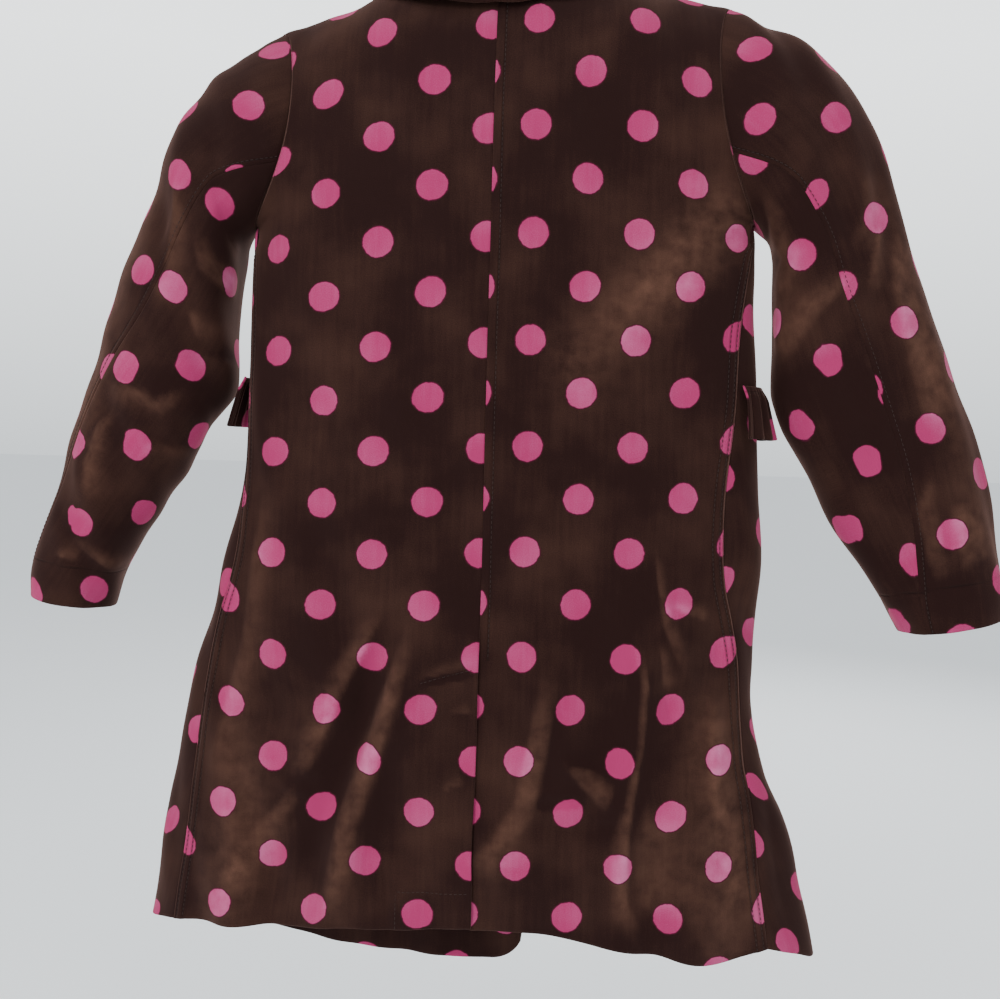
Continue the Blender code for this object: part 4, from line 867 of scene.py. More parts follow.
def build_panel(side, face):
    """One back or front, with its laps, stitch lines and facing."""
    name = f"{face}_{side}"
    outer, normals, centre = panel(side, face)
    keep = None
    if name == "back_right":
        keep = np.ones((outer.shape[0] - 1, outer.shape[1] - 1), bool)
        first = int(np.argmax(-outer[:, centre, 2] >= VENT_DROP))
        keep[:first, :centre] = False
    pit = (len(ARMHOLE_ANGLES) - 1) * FINER
    if face == "back":
        columns = [("last", TOPSTITCH * 0.45), ("last", TOPSTITCH * 1.25)]
    else:
        columns = []
    lines = stitch_distance(outer, columns)
    lines = np.where(-outer[..., 2] > PIT_DROP[side], lines, 1.0)
    if side == "right" and face == "back":
        across = arc(outer, 1)
        above = -outer[..., 2] < VENT_DROP
        beside = np.abs(across - across[:, centre : centre + 1] - TOPSTITCH)
        lines = np.where(above, np.minimum(lines, beside), lines)
    x, drop = outer[..., 0], -outer[..., 2]
    # Painted highlight (+) and painted shade (-) along the folds, mixed into the cloth's colour by the
    # material
    painted_sheen_and_shade = line_sum(PAINTED_SHEEN_PATCHES, face, x, drop) + band_sum(face, x, drop, 4)
    layers = cloth_layers(name, outer, pit, centre, True, painted_sheen_and_shade, lines)
    faced = None
    if face == "front":
        above = arc(outer, 0)
        faced = (outer[..., 0] * SIDES[side] < FACING_WIDTH) | (above[-1:] - above < HEM_DEPTH)
        faced = faced[1:, 1:]
    piece = shell(name, outer, normals, keep, layers=layers, faced=faced)
    STITCHED[name] = (outer, normals, centre)
    return finish_cloth(piece, name)


def finish_cloth(piece, node_name, nodes=None):
    """Names the shell, gives it its two cloths, and hides the solid parts that it replaces."""
    piece.name = node_name + "_cloth"
    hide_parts(*(nodes or [node_name]))
    piece.data.materials.append(VELVETEEN)
    piece.data.materials.append(WRONG_SIDE)
    return piece


# ---------------------------------------------------------------- sleeves


def sleeve_point(side, place, angle):
    """Rings about the sleeve's length; the first ones blend into the armhole's own loop."""
    table = SLEEVE_ROWS[side]
    knots = np.arange(len(table), dtype=float)
    at = place * knots[-1]
    out_x, out_drop, in_x, in_drop, back, front = [
        through(at, knots, table[:, column]) for column in range(6)
    ]
    across = (1 - np.cos(angle)) / 2
    x = out_x + (in_x - out_x) * across
    drop = out_drop + (in_drop - out_drop) * across
    y = np.where(np.sin(angle) >= 0, back, front) * np.sin(angle)
    ring = np.stack([SIDES[side] * x, y, -drop], axis=-1)
    start = table[0]
    plain = np.stack(
        [
            SIDES[side] * (start[0] + (start[2] - start[0]) * across),
            np.where(np.sin(angle) >= 0, start[4], start[5]) * np.sin(angle),
            -(start[1] + (start[3] - start[1]) * across),
        ],
        axis=-1,
    )
    fade = 1 - smooth(at / LOOP_FADE_ROWS)
    return ring + (armhole(side, angle) - plain) * fade[..., None]


def sleeve_angles(side, place, piece):
    """The angles round the arm that a sleeve piece covers at each place along it."""
    table = SLEEVE_ROWS[side]
    seam = np.radians(through(place * (len(table) - 1), np.arange(len(table)), table[:, 6]))
    loop = finer(ARMHOLE_ANGLES, SLEEVE_FINER)
    back_at, front_at = BACK_SEAM_AT * SLEEVE_FINER, FRONT_SEAM_AT * SLEEVE_FINER
    start, front = loop[back_at], -loop[front_at]
    if piece == "upper":
        ring = np.concatenate([-loop[front_at:0:-1], loop[: back_at + 1]])
        return front + (ring - front) * (seam - front) / (start - front)
    ring = np.concatenate([loop[back_at:], 2 * math.pi - loop[-2 : front_at - 1 : -1]])
    end = 2 * math.pi + front
    return seam + (ring - start) * (end - seam) / (end - start)


SLEEVE_FINER = 7
SLEEVE_RINGS = 150
FLAT_GRID, FLAT_PASSES, FLAT_STEP = (44, 26), 2500, 0.2
SLEEVE_LEVEL = 0.4  # the ring that lies level in the flat piece, as a share of the length


def sleeve_grid(side, piece):
    """The outer face of a sleeve piece with its creases, its normals and its painted highlight and shade."""
    rings = np.linspace(0, 1, SLEEVE_RINGS)[:, None]
    angle = sleeve_angles(side, rings, piece)
    place = np.broadcast_to(rings, angle.shape)
    outer = sleeve_point(side, place, angle)
    normals = normals_of(outer, -SIDES[side])
    x, drop = outer[..., 0], -outer[..., 2]
    behind = smooth(np.sin(angle) / 0.35)
    before = smooth(-np.sin(angle) / 0.35)
    height = (line_sum(CREASES, "sleeve_back", x, drop) + band_sum("sleeve_back", x, drop, 3)) * behind
    height = height + line_sum(CREASES, "sleeve_front", x, drop) * before
    height = height + band_sum("sleeve_front", x, drop, 3) * before
    across = arc(outer, 1)
    calm = smooth(across / SEAM_CALM) * smooth((across[:, -1:] - across) / SEAM_CALM)
    calm = calm * smooth(place / 0.06)
    height = (height + waves(x * 1.3 + np.sin(angle) * 0.02, drop * 1.2)) * calm
    outer = outer + normals * height[..., None]
    normals = normals_of(outer, -SIDES[side])
    normals[0] = unit(normals[0] + armhole_mitre(side, angle[0]))
    # Painted highlight and painted shade along the sleeve's folds, mixed into the cloth's colour
    painted_sheen_and_shade = (line_sum(PAINTED_SHEEN_PATCHES, "sleeve_back", x, drop) + band_sum("sleeve_back", x, drop, 4)) * behind
    painted_sheen_and_shade = painted_sheen_and_shade + band_sum("sleeve_front", x, drop, 4) * before
    return outer, normals, painted_sheen_and_shade


def build_sleeve(side, piece):
    """One sleeve piece with its seam and cuff stitching."""
    name = f"sleeve_{side}_{piece}"
    outer, normals, painted_sheen_and_shade = sleeve_grid(side, piece)
    columns = [("last", TOPSTITCH * 0.6)] if piece == "upper" else []
    lines = stitch_distance(outer, columns, [HEM_DEPTH])
    middle = outer.shape[1] // 2
    level = int(SLEEVE_LEVEL * len(outer))
    layers = cloth_layers(name, outer, level, middle, False, painted_sheen_and_shade, lines)
    made = shell(name, outer, normals, layers=layers)
    STITCHED[name] = (outer, normals, middle)
    return finish_cloth(made, name)


# ---------------------------------------------------------------- collar


def body_y(side, face, x, drop):
    """Where a panel lies, front to back, at a place across and a drop."""
    rows = rows_of(side, face)
    neck = float(share_at(NECK_HALF, rows["width"][0], rows["angle"][0]))
    share = share_at(x, rows["width"][0], rows["angle"][0])
    top_drop, top_y = top_edge(side, face, share, neck, x)
    down = (drop - top_drop) / (hem_drop(side, face, share) - top_drop)
    width, angle = [np.interp(down, rows["down"], rows[name]) for name in ("width", "angle")]
    near = reaches(face, drop)[0]
    cosine = np.cos(share_at(x, width, angle) * angle)
    level = FACES[face] * near * signed_power(cosine, 2 / SECTION_POWER)
    rounding = NECK_ROUNDING + (SHOULDER_ROUNDING - NECK_ROUNDING) * smooth(share / neck)
    part = np.clip((drop - top_drop) / rounding, 0, 1)
    return top_y + (level - top_y) * np.sqrt(1 - (1 - part) ** 2), np.arccos(1 - part), top_drop


def neck_base():
    """The neck edge from the left centre front round the back to the right, with its places."""
    halves = []
    for side in ("left", "right"):
        back_share = np.linspace(0, neck_share_of(side, "back"), 41)[None, :]
        front_share = np.linspace(neck_share_of(side, "front"), 0, 51)[None, :]
        back = body_surface(side, "back", back_share)[0]
        front = body_surface(side, "front", front_share)[0]
        points = np.concatenate([back, front[1:]])
        places = np.concatenate([np.linspace(0, 0.5, 41), np.linspace(0.5, 1, 51)[1:]])
        points[-1, 0] += SIDES[side] * COLLAR_END_GAP / 2
        points[-2, 0] += SIDES[side] * COLLAR_END_GAP / 2
        halves.append((points, places))
    (left, left_places), (right, right_places) = halves
    points = np.concatenate([left[::-1], right[1:]])
    places = np.concatenate([left_places[::-1], right_places[1:]])
    return points, places, ["left"] * len(left) + ["right"] * (len(right) - 1)


def fall_points(point, side, place, reach, turn, stand):
    """One column of the fall: out over the body, its height easing from the stand to the cloth."""
    face = "back" if place <= 0.5 else "front"
    part = np.linspace(0, 1, 26)
    out = COLLAR_ROLL + (reach - COLLAR_ROLL) * part
    x = abs(point[0]) + out * math.cos(turn)
    drop = -point[2] + out * math.sin(turn)
    top_drop = body_y(side, face, x, drop)[2]
    drop = top_drop if abs(place - 0.5) < 1e-6 else np.maximum(drop, top_drop)
    y, tilt, _ = body_y(side, face, x, drop)
    low = WALL / 2 + COLLAR_CLEAR
    height = low + (stand - low) * (1 - part**COLLAR_CURVE)
    places = np.stack([SIDES[side] * x, y, -drop], axis=-1)
    away = np.stack([0 * x, FACES[face] * np.sin(tilt), np.cos(tilt)], axis=-1)
    return places + away * height[:, None]


def build_collar():
    """Stand, rolled top and fall, as a grid from foot to edge."""
    base, places, sides = neck_base()
    columns = [through(places, COLLAR[:, 0], COLLAR[:, column]) for column in range(1, 5)]
    stand, length, turn, foot_rise = columns
    turn = np.radians(turn)
    along = np.gradient(base, axis=0)
    out = unit(np.stack([-along[:, 1], along[:, 0], 0 * along[:, 0]], axis=1))
    out *= np.sign((out * base).sum(axis=1, keepdims=True))
    up = np.array([0.0, 0.0, 1.0])
    foot = base - out * (WALL / 2 + COLLAR_INSIDE) + up * foot_rise[:, None]
    run = np.cumsum(np.concatenate([[0], np.linalg.norm(np.diff(base, axis=0), axis=1)]))
    from_end = np.clip(np.minimum(run, run[-1] - run) / COLLAR_CORNER, 0, 1)
    length = length - COLLAR_CORNER_DEPTH * (1 - np.sqrt(1 - (1 - from_end) ** 2))
    fall = np.stack([fall_points(*v) for v in zip(base, sides, places, length, turn, stand)], axis=1)
    top = foot + up * stand[:, None]
    roll = (top + fall[0]) / 2 + up * COLLAR_ROLL_RISE
    rise = np.stack([foot + (top - foot) * p for p in (0, 0.25, 0.5, 0.75, 1)])
    coarse = np.concatenate([rise, roll[None], fall])
    middle = eased(coarse, 56)
    normals = normals_of(middle, 1)
    outer = middle + normals * CLOTH / 2
    painted_sheen_and_shade = np.zeros(outer.shape[:2])
    lines = stitch_distance(outer, [("first", TOPSTITCH * 0.6), ("last", TOPSTITCH * 0.6)], [TOPSTITCH * 0.6])
    layers = cloth_layers("collar", outer, 0, outer.shape[1] // 2, False, painted_sheen_and_shade, lines)
    piece = shell("collar", outer, normals, layers=layers)
    STITCHED["collar"] = (outer, normals, outer.shape[1] // 2)
    made = finish_cloth(piece, "collar", ("collar_stand", "collar_fall"))
    made.data.polygons.foreach_set("material_index", np.zeros(len(made.data.polygons), np.int32))
    return made


def eased(points, rows):
    """The same columns at even steps of length, smoothed along and across."""
    run = arc(points, 0)
    made = np.empty((rows, *points.shape[1:]))
    for column in range(points.shape[1]):
        steps = np.linspace(0, run[-1, column], rows)
        for axis in range(3):
            made[:, column, axis] = np.interp(steps, run[:, column], points[:, column, axis])
    for _ in range(14):
        made[1:-1] += (made[2:] + made[:-2] - 2 * made[1:-1]) / 4
        made[1:-1, 1:-1] += (made[1:-1, 2:] + made[1:-1, :-2] - 2 * made[1:-1, 1:-1]) / 4
    return made


# ---------------------------------------------------------------- flaps, buttons, hanger


def front_at(side, share, drop):
    """A place on the front beside the side seam, and the direction out of it."""
    edge, seam, back, front = section(side, drop)
    angle = (math.pi - np.arcsin((seam / edge) ** (SECTION_POWER / 2))) * share
    x = edge * signed_power(np.sin(angle), 2 / SECTION_POWER)
    reach = np.where(np.cos(angle) > 0, front, back)
    y = -reach * signed_power(np.cos(angle), 2 / SECTION_POWER)
    across = (x / edge) ** (SECTION_POWER - 1) / edge
    out = signed_power(y / reach, SECTION_POWER - 1) / reach
    normal = unit(np.stack([SIDES[side] * across, out, 0 * x], axis=-1))
    return np.stack([SIDES[side] * x, y, -drop + 0 * x], axis=-1), normal


def build_flap(side):
    """Gathered strip: off = flare v + ruffle cos(2 pi n u) that grows from the stitched top down."""
    along = np.linspace(0, 1, 181)[None, :]
    down = np.linspace(0, 1, 26)[:, None]
    share = FLAP_START + (FLAP_END - FLAP_START) * along
    share, drop = np.broadcast_arrays(share, FLAP_DROP + FLAP_DEPTH * down)
    points, normals = front_at(side, share, drop)
    phase = 2 * math.pi * FLAP_GATHERS * along
    ruffle = 0.5 + 0.5 * np.cos(phase + 0.5 * np.sin(3.1 * along * math.pi))
    small = 0.5 + 0.5 * np.cos(phase * 2.6 + 1.0)
    flare = FLAP_FLARE * (1 - (1 - FLAP_LEAST_FLARE) * along)
    fine = 0.0008 * small * (1 - down) * smooth(down / 0.2)
    off = SEAM_GAP + WALL + flare * down + FLAP_WAVE * ruffle * smooth(down / 0.3) + fine
    outer = points + normals * off[..., None]
    normals = normals_of(outer, -SIDES[side])
    name = "flap_" + side
    lines = np.abs(arc(outer, 0) - 0.005)
    layers = cloth_layers(name, outer, 0, 0, False, np.zeros(outer.shape[:2]), lines)
    piece = shell(name, outer, normals, layers=layers)
    made = finish_cloth(piece, name)
    made.data.polygons.foreach_set("material_index", np.zeros(len(made.data.polygons), np.int32))
    return made


def tube(name, path, radius, sides):
    """A closed round rod: rings about a path, square to it, with domed ends."""
    path = np.asarray(path, float)
    along = unit(np.gradient(path, axis=0))
    side_way = unit(np.cross(along, np.array([0.0, 1.0, 0.0])))
    lift = np.cross(side_way, along)
    turn = np.linspace(0, 2 * math.pi, sides, endpoint=False)
    ring = side_way[:, None] * np.cos(turn)[None, :, None] + lift[:, None] * np.sin(turn)[None, :, None]
    size = np.full(len(path), radius)
    size[0] = size[-1] = radius * 0.55
    points = path[:, None] + ring * size[:, None, None]
    return wrapped(name, points)


def wrapped(name, points):
    """A tube of rings, its two ends closed by fans of flattened quads."""
    rings, sides = points.shape[:2]
    index = np.arange(rings * sides).reshape(rings, sides)
    after = np.roll(index, -1, axis=1)
    faces = np.stack([index[:-1], index[1:], after[1:], after[:-1]], axis=-1).reshape(-1, 4).tolist()
    flat = points.reshape(-1, 3)
    ends = np.stack([points[0].mean(axis=0), points[-1].mean(axis=0)])
    count = len(flat)
    faces += [(int(a), int(b), count) for a, b in zip(index[0], after[0])]
    faces += [(int(b), int(a), count + 1) for a, b in zip(index[-1], after[-1])]
    mesh = bpy.data.meshes.new(name)
    mesh.from_pydata(np.concatenate([flat, ends]).tolist(), [], faces)
    fix_normals(mesh)
    mesh.shade_smooth()
    return mesh


def fix_normals(mesh):
    """Turns every face of a closed mesh outwards."""
    made = bmesh.new()
    made.from_mesh(mesh)
    bmesh.ops.recalc_face_normals(made, faces=made.faces)
    made.to_mesh(mesh)
    made.free()


def lathe(name, centre, profile, sides):
    """A profile of (radius, height) turned about Y, its height toward -Y."""
    turn = np.linspace(0, 2 * math.pi, sides, endpoint=False)
    radius = profile[:, 0][:, None]
    x = radius * np.cos(turn)[None]
    z = radius * np.sin(turn)[None]
    y = -profile[:, 1][:, None] + 0 * x
    return wrapped(name, np.stack([x, y, z], axis=-1) + centre)


def build_button(number):
    """A turned button with its four holes and thread."""
    low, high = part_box(f"button_{number}")
    centre = np.array([(low.x + high.x) / 2, high.y, (low.z + high.z) / 2])
    r, t = BUTTON_RADIUS, BUTTON_THICKNESS
    profile = np.array(
        [
            (0.10 * r, 0.0), (0.80 * r, 0.0), (0.96 * r, 0.15 * t), (r, 0.45 * t), (0.985 * r, 0.72 * t),
            (0.93 * r, 0.93 * t), (0.86 * r, t), (0.78 * r, 0.97 * t), (0.70 * r, 0.82 * t),
            (0.60 * r, 0.66 * t), (0.40 * r, 0.60 * t), (0.10 * r, 0.59 * t),
        ]
    )
    piece = add_piece(f"button_{number}_turned", lathe("button", centre, profile, 48))
    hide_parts(f"button_{number}")
    piece.data.materials.append(HORN)
    # Each hole is a small near-black disc in the button's face: painted shade standing for the hole's depth.
    for hole, (i, j) in enumerate([(-1, -1), (-1, 1), (1, -1), (1, 1)]):
        place = centre + np.array([i * 0.0019, 0, j * 0.0019])
        ring = np.array([(0.0012, 0.57 * t), (0.00105, 0.66 * t), (0.0008, 0.60 * t), (0.0006, 0.58 * t)])
        made = add_piece(f"button_{number}_hole_{hole}", lathe("hole", place, ring, 14))
        made.data.materials.append(HOLE)
    for i in (-1, 1):
        path = [
            centre + np.array([i * 0.0019, -0.60 * t, z]) - np.array([0, 0.0005 * (1 - (z / 0.0019) ** 2), 0])
            for z in np.linspace(-0.0019, 0.0019, 7)
        ]
        made = add_piece(f"button_{number}_thread_{'a' if i < 0 else 'b'}", tube("thread", path, 0.0005, 8))
        made.data.materials.append(THREAD)


def hanger_top(x):
    """The drop of the upper edge of the arms."""
    left = x > 0
    neck = np.where(left, NECK_DROP["left"], NECK_DROP["right"])
    tip = np.where(left, TIP_DROP["left"], TIP_DROP["right"])
    along = (np.abs(x) - NECK_HALF) / (TIP_HALF - NECK_HALF)
    dip = ARM_NECK_DIP * np.clip(1 - along, 0, 1) ** 2
    shoulder = neck + (tip - neck) * along + WALL + ARM_CLEAR + dip
    return ARM_TOP_DROP + (shoulder - ARM_TOP_DROP) * smooth(np.abs(x) / ARM_RISE_HALF)


def build_hanger():
    """Arms: rounded-rectangle rings along x. Hook: a rod bent to a circle, set in a small boss."""
    x = ARM_END * np.sin(np.linspace(-math.pi / 2, math.pi / 2, 121))
    top = hanger_top(x)
    depth = ARM_DEPTH_MIDDLE + (ARM_DEPTH_END - ARM_DEPTH_MIDDLE) * np.abs(x) / ARM_END
    end = np.sqrt(np.clip(1 - (np.abs(x) / ARM_END) ** 16, 0, 1)) * 0.7 + 0.3
    turn = np.linspace(0, 2 * math.pi, 40, endpoint=False)
    across = signed_power(np.cos(turn), 0.35)[None, :] * ARM_HALF_THICKNESS
    upright = signed_power(np.sin(turn), 0.45)[None, :]
    middle = -(top + depth / 2)[:, None]
    z = middle + upright * (depth * end / 2)[:, None]
    slim = 1 - 0.35 * np.exp(-(((z - middle) / (depth[:, None] * 0.30)) ** 2))
    points = np.stack([x[:, None] + 0 * z, across * slim * end[:, None], z], axis=-1)
    arms = add_piece("hanger_arms", wrapped("arms", points))
    centre = -HOOK_RADIUS + HOOK_ROD
    bend = np.radians(np.linspace(-HOOK_OPEN_DEGREES, 262, 90))
    path = [(-HOOK_RADIUS * math.cos(a), 0, centre + HOOK_RADIUS * math.sin(a)) for a in bend]
    path += [(0, 0, z) for z in np.linspace(centre - HOOK_RADIUS * 1.35, -ARM_TOP_DROP - 0.010, 12)]
    hook = add_piece("hanger_hook", tube("hook", path, HOOK_ROD, 24))
    for piece in (arms, hook):
        piece.data.materials.append(MOULDED)
    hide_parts("hanger")
    return arms


# ---------------------------------------------------------------- topstitching


def sample(grid, rows, columns):
    """A grid's values between its points, by bilinear mixing."""
    rows = np.clip(rows, 0, grid.shape[0] - 1.001)
    columns = np.clip(columns, 0, grid.shape[1] - 1.001)
    r, c = rows.astype(int), columns.astype(int)
    a, b = (rows - r)[:, None], (columns - c)[:, None]
    upper = grid[r, c] * (1 - b) + grid[r, c + 1] * b
    lower = grid[r + 1, c] * (1 - b) + grid[r + 1, c + 1] * b
    return upper * (1 - a) + lower * a


def line_down(name, edge, distance, drops=(0.0, 2.0)):
    """Points at a fixed distance from a side edge, or from the centre column, row by row."""
    outer, normals, centre = STITCHED[name]
    across = arc(outer, 1)
    if edge == "last":
        wanted = across[:, -1] - distance
    elif edge == "first":
        wanted = across[:, 0] + distance
    else:
        wanted = across[:, centre] + distance
    rows = np.arange(len(outer), dtype=float)
    columns = np.array([np.interp(w, line, np.arange(len(line))) for w, line in zip(wanted, across)])
    points, normal = sample(outer, rows, columns), unit(sample(normals, rows, columns))
    chosen = (-points[:, 2] >= drops[0]) & (-points[:, 2] <= drops[1])
    return points[chosen], normal[chosen]


def line_between(name, start, end, count=60):
    """A straight line on the cloth between two (x, drop) places."""
    outer, normals, _ = STITCHED[name]
    flat = np.stack([outer[..., 0], -outer[..., 2]], axis=-1).reshape(-1, 2)
    places = np.linspace(start, end, count)
    nearest = [int(np.argmin(((flat - place) ** 2).sum(axis=1))) for place in places]
    points = outer.reshape(-1, 3)[nearest].copy()
    points[:, 0], points[:, 2] = places[:, 0], -places[:, 1]
    return points, normals.reshape(-1, 3)[nearest]


def stitches(lines):
    """Short rounded threads along each line: rings of six points, sunk a little in the pile."""
    ring = np.array([(math.cos(a), math.sin(a)) for a in np.radians(np.arange(0, 360, 60))])
    stations = np.array(
        [(-1.0, 0.35, -1.0), (-0.6, 1.0, 0.1), (0.0, 1.0, 0.5), (0.6, 1.0, 0.1), (1.0, 0.35, -1.0)]
    )
    every = []
    for points, normals in lines:
        run = np.concatenate([[0], np.cumsum(np.linalg.norm(np.diff(points, axis=0), axis=1))])
        starts = np.arange(0.001, run[-1] - STITCH_LENGTH, STITCH_LENGTH + STITCH_GAP)
        middle = starts + STITCH_LENGTH / 2
        centre = np.stack([np.interp(middle, run, points[:, i]) for i in range(3)], axis=1)
        ahead = np.stack([np.interp(middle + 1e-4, run, points[:, i]) for i in range(3)], axis=1)
        normal = unit(np.stack([np.interp(middle, run, normals[:, i]) for i in range(3)], axis=1))
        along = unit(ahead - centre)
        beside = unit(np.cross(normal, along))
        for place, size, lift in stations:
            base = centre + along * place * STITCH_LENGTH / 2 + normal * lift * THREAD_RADIUS
            every.append(
                base[:, None]
                + beside[:, None] * (ring[:, 0] * size * THREAD_RADIUS)[None, :, None]
                + normal[:, None] * (ring[:, 1] * size * THREAD_RADIUS)[None, :, None]
            )
    groups = [np.stack(every[i : i + len(stations)], axis=1) for i in range(0, len(every), len(stations))]
    points = np.concatenate(groups)
    count, levels, sides = points.shape[:3]
    index = np.arange(count * levels * sides).reshape(count, levels, sides)
    after = np.roll(index, -1, axis=2)
    walls = np.stack([index[:, :-1], after[:, :-1], after[:, 1:], index[:, 1:]], axis=-1).reshape(-1, 4)
    ends = np.concatenate([index[:, 0][:, [3, 2, 1, 0]], index[:, 0][:, [5, 4, 3, 0]]])
    tips = np.concatenate([index[:, -1][:, [0, 1, 2, 3]], index[:, -1][:, [0, 3, 4, 5]]])
    faces = np.concatenate([walls, ends, tips])
    piece = add_piece("topstitching", grid_mesh("topstitching", points.reshape(-1, 3), faces))
    fix_normals(piece.data)
    piece.data.materials.append(THREAD)
    return piece


# ---------------------------------------------------------------- materials


def linear(hex_colour):
    """sRGB hex to linear values, with alpha 1."""
    values = [int(hex_colour[i : i + 2], 16) / 255 for i in (1, 3, 5)]
    return [v / 12.92 if v <= 0.04045 else ((v + 0.055) / 1.055) ** 2.4 for v in values] + [1.0]


def add(tree, kind, values=None, links=None, **settings):
    """Adds a node of a kind, with its settings, its input values, and links from (node, output)."""
    made = tree.nodes.new("ShaderNode" + kind)
    for key, value in settings.items():
        setattr(made, key, value)
    for key, value in (values or {}).items():
        made.inputs[key].default_value = value
    for key, (source, output) in (links or {}).items():
        tree.links.new(source.outputs[output], made.inputs[key])
    return made


def new_material(name):
    """A material with an empty shader joined to its output."""
    made = bpy.data.materials.new(name)
    made.use_nodes = True
    tree = made.node_tree
    tree.nodes.clear()
    shader = add(tree, "BsdfPrincipled")
    add(tree, "OutputMaterial", links={"Surface": (shader, "BSDF")})
    return made, tree, shader


def velveteen():
    """Cotton velveteen, printed and brushed: a dense short pile, dark where it is seen end on.

    The eye sees a deep brown ground with a soft light edge on every fold from the sheen. The broad
    lighter and darker patches along the folds are painted highlight and painted shade, in the brown
    ground and the pink dots alike, over random tone from noise.
    """
    made, tree, shader = new_material("brown cotton velveteen, pink dots")
    cloth = add(tree, "Attribute", attribute_name="cloth")
    painted_sheen_and_shade = add(tree, "Attribute", attribute_name="painted_sheen_and_shade")
    stitch = add(tree, "Attribute", attribute_name="stitch")
    # The print's edge wanders by about half a millimetre, as ink does in a pile.
    wobble = add(tree, "TexNoise", {"Scale": 260.0, "Detail": 3.0}, {"Vector": (cloth, "Vector")})
    centred = add(
        tree, "VectorMath", {1: (0.5, 0.5, 0.5)}, {0: (wobble, "Color")}, operation="SUBTRACT"
    )
    moved = add(
        tree,
        "VectorMath",
        {1: (0.0016, 0.0016, 0.0)},
        {0: (centred, "Vector"), 2: (cloth, "Vector")},
        operation="MULTIPLY_ADD",
    )
    # A half-drop repeat is a square one turned by 45 degrees, with its side shorter by root two.
    side = DOT_STEP * math.sqrt(2)
    turned = add(
        tree,
        "Mapping",
        {"Rotation": (0, 0, math.radians(45)), "Scale": (1 / side, 1 / side, 0)},
        {"Vector": (moved, "Vector")},
    )
    offset = add(tree, "VectorMath", {1: (0.5, 0.5, 0.0)}, {0: (turned, "Vector")}, operation="ADD")
    cell = add(tree, "VectorMath", links={0: (offset, "Vector")}, operation="FRACTION")
    middle = add(tree, "VectorMath", {1: (0.5, 0.5, 0.0)}, {0: (cell, "Vector")}, operation="SUBTRACT")
    reach = add(tree, "VectorMath", links={0: (middle, "Vector")}, operation="LENGTH")
    radius = DOT_RADIUS / side
    blur = 0.00035 / side
    dot = add(
        tree,
        "MapRange",
        {"From Min": radius - blur, "From Max": radius + blur, "To Min": 1.0, "To Max": 0.0},
        {"Value": (reach, "Value")},
        interpolation_type="SMOOTHSTEP",
    )
    ring = add(
        tree,
        "MapRange",
        {"From Min": radius + blur, "From Max": radius + 3.5 * blur, "To Min": 1.0, "To Max": 0.0},
        {"Value": (reach, "Value")},
        interpolation_type="SMOOTHSTEP",
    )
    # Broad brushing of the nap, 60 mm and 18 mm patches, and streaks along the grain.
    broad = add(tree, "TexNoise", {"Scale": 15.0, "Detail": 3.0}, {"Vector": (cloth, "Vector")})
    grain = add(
        tree, "Mapping", {"Scale": (320.0, 22.0, 1.0)}, {"Vector": (cloth, "Vector")}
    )
    streak = add(tree, "TexNoise", {"Scale": 1.0, "Detail": 2.0}, {"Vector": (grain, "Vector")})
    pile = add(tree, "TexNoise", {"Scale": 1300.0, "Detail": 2.0}, {"Vector": (cloth, "Vector")})
    one = add(
        tree, "Math", {1: 0.85, 2: -0.34}, {0: (broad, "Fac")}, operation="MULTIPLY_ADD"
    )
    two = add(tree, "Math", {1: 0.16}, {0: (streak, "Fac"), 2: (one, "Value")}, operation="MULTIPLY_ADD")
    three = add(tree, "Math", {1: 0.35}, {0: (pile, "Fac"), 2: (two, "Value")}, operation="MULTIPLY_ADD")
    four = add(tree, "Math", {1: -0.28}, {0: (three, "Value")}, operation="ADD")
    # The painted highlight and shade on a fold are blotchy: noise patches 10 mm across thin them out here and
    # there.
    blotch = add(tree, "TexNoise", {"Scale": 95.0, "Detail": 4.0}, {"Vector": (cloth, "Vector")})
    spread = {"From Min": 0.3, "From Max": 0.7, "To Min": 0.45, "To Max": 1.45}
    uneven = add(tree, "MapRange", spread, {"Value": (blotch, "Fac")})
    tone_and_painted_sheen = add(
        tree,
        "Math",
        links={0: (painted_sheen_and_shade, "Fac"), 1: (uneven, "Result"), 2: (four, "Value")},
        operation="MULTIPLY_ADD",
        use_clamp=True,
    )
    # Brown and pink each run from a dark copy to a lighter one: the lighter copy is painted highlight where
    # the fold value is high, and random tone elsewhere.
    ground = add(
        tree,
        "MixRGB",
        {"Color1": linear("#1d0b09"), "Color2": linear("#563a2e")},
        {"Fac": (tone_and_painted_sheen, "Value")},
    )
    pink = add(
        tree,
        "MixRGB",
        {"Color1": linear("#982b58"), "Color2": linear("#c27095")},
        {"Fac": (tone_and_painted_sheen, "Value")},
    )
    edge = add(
        tree, "MixRGB", {"Color2": linear("#3c0d1e")}, {"Fac": (ring, "Result"), "Color1": (ground, "Color")}
    )
    printed = add(
        tree, "MixRGB", links={"Fac": (dot, "Result"), "Color1": (edge, "Color"), "Color2": (pink, "Color")}
    )
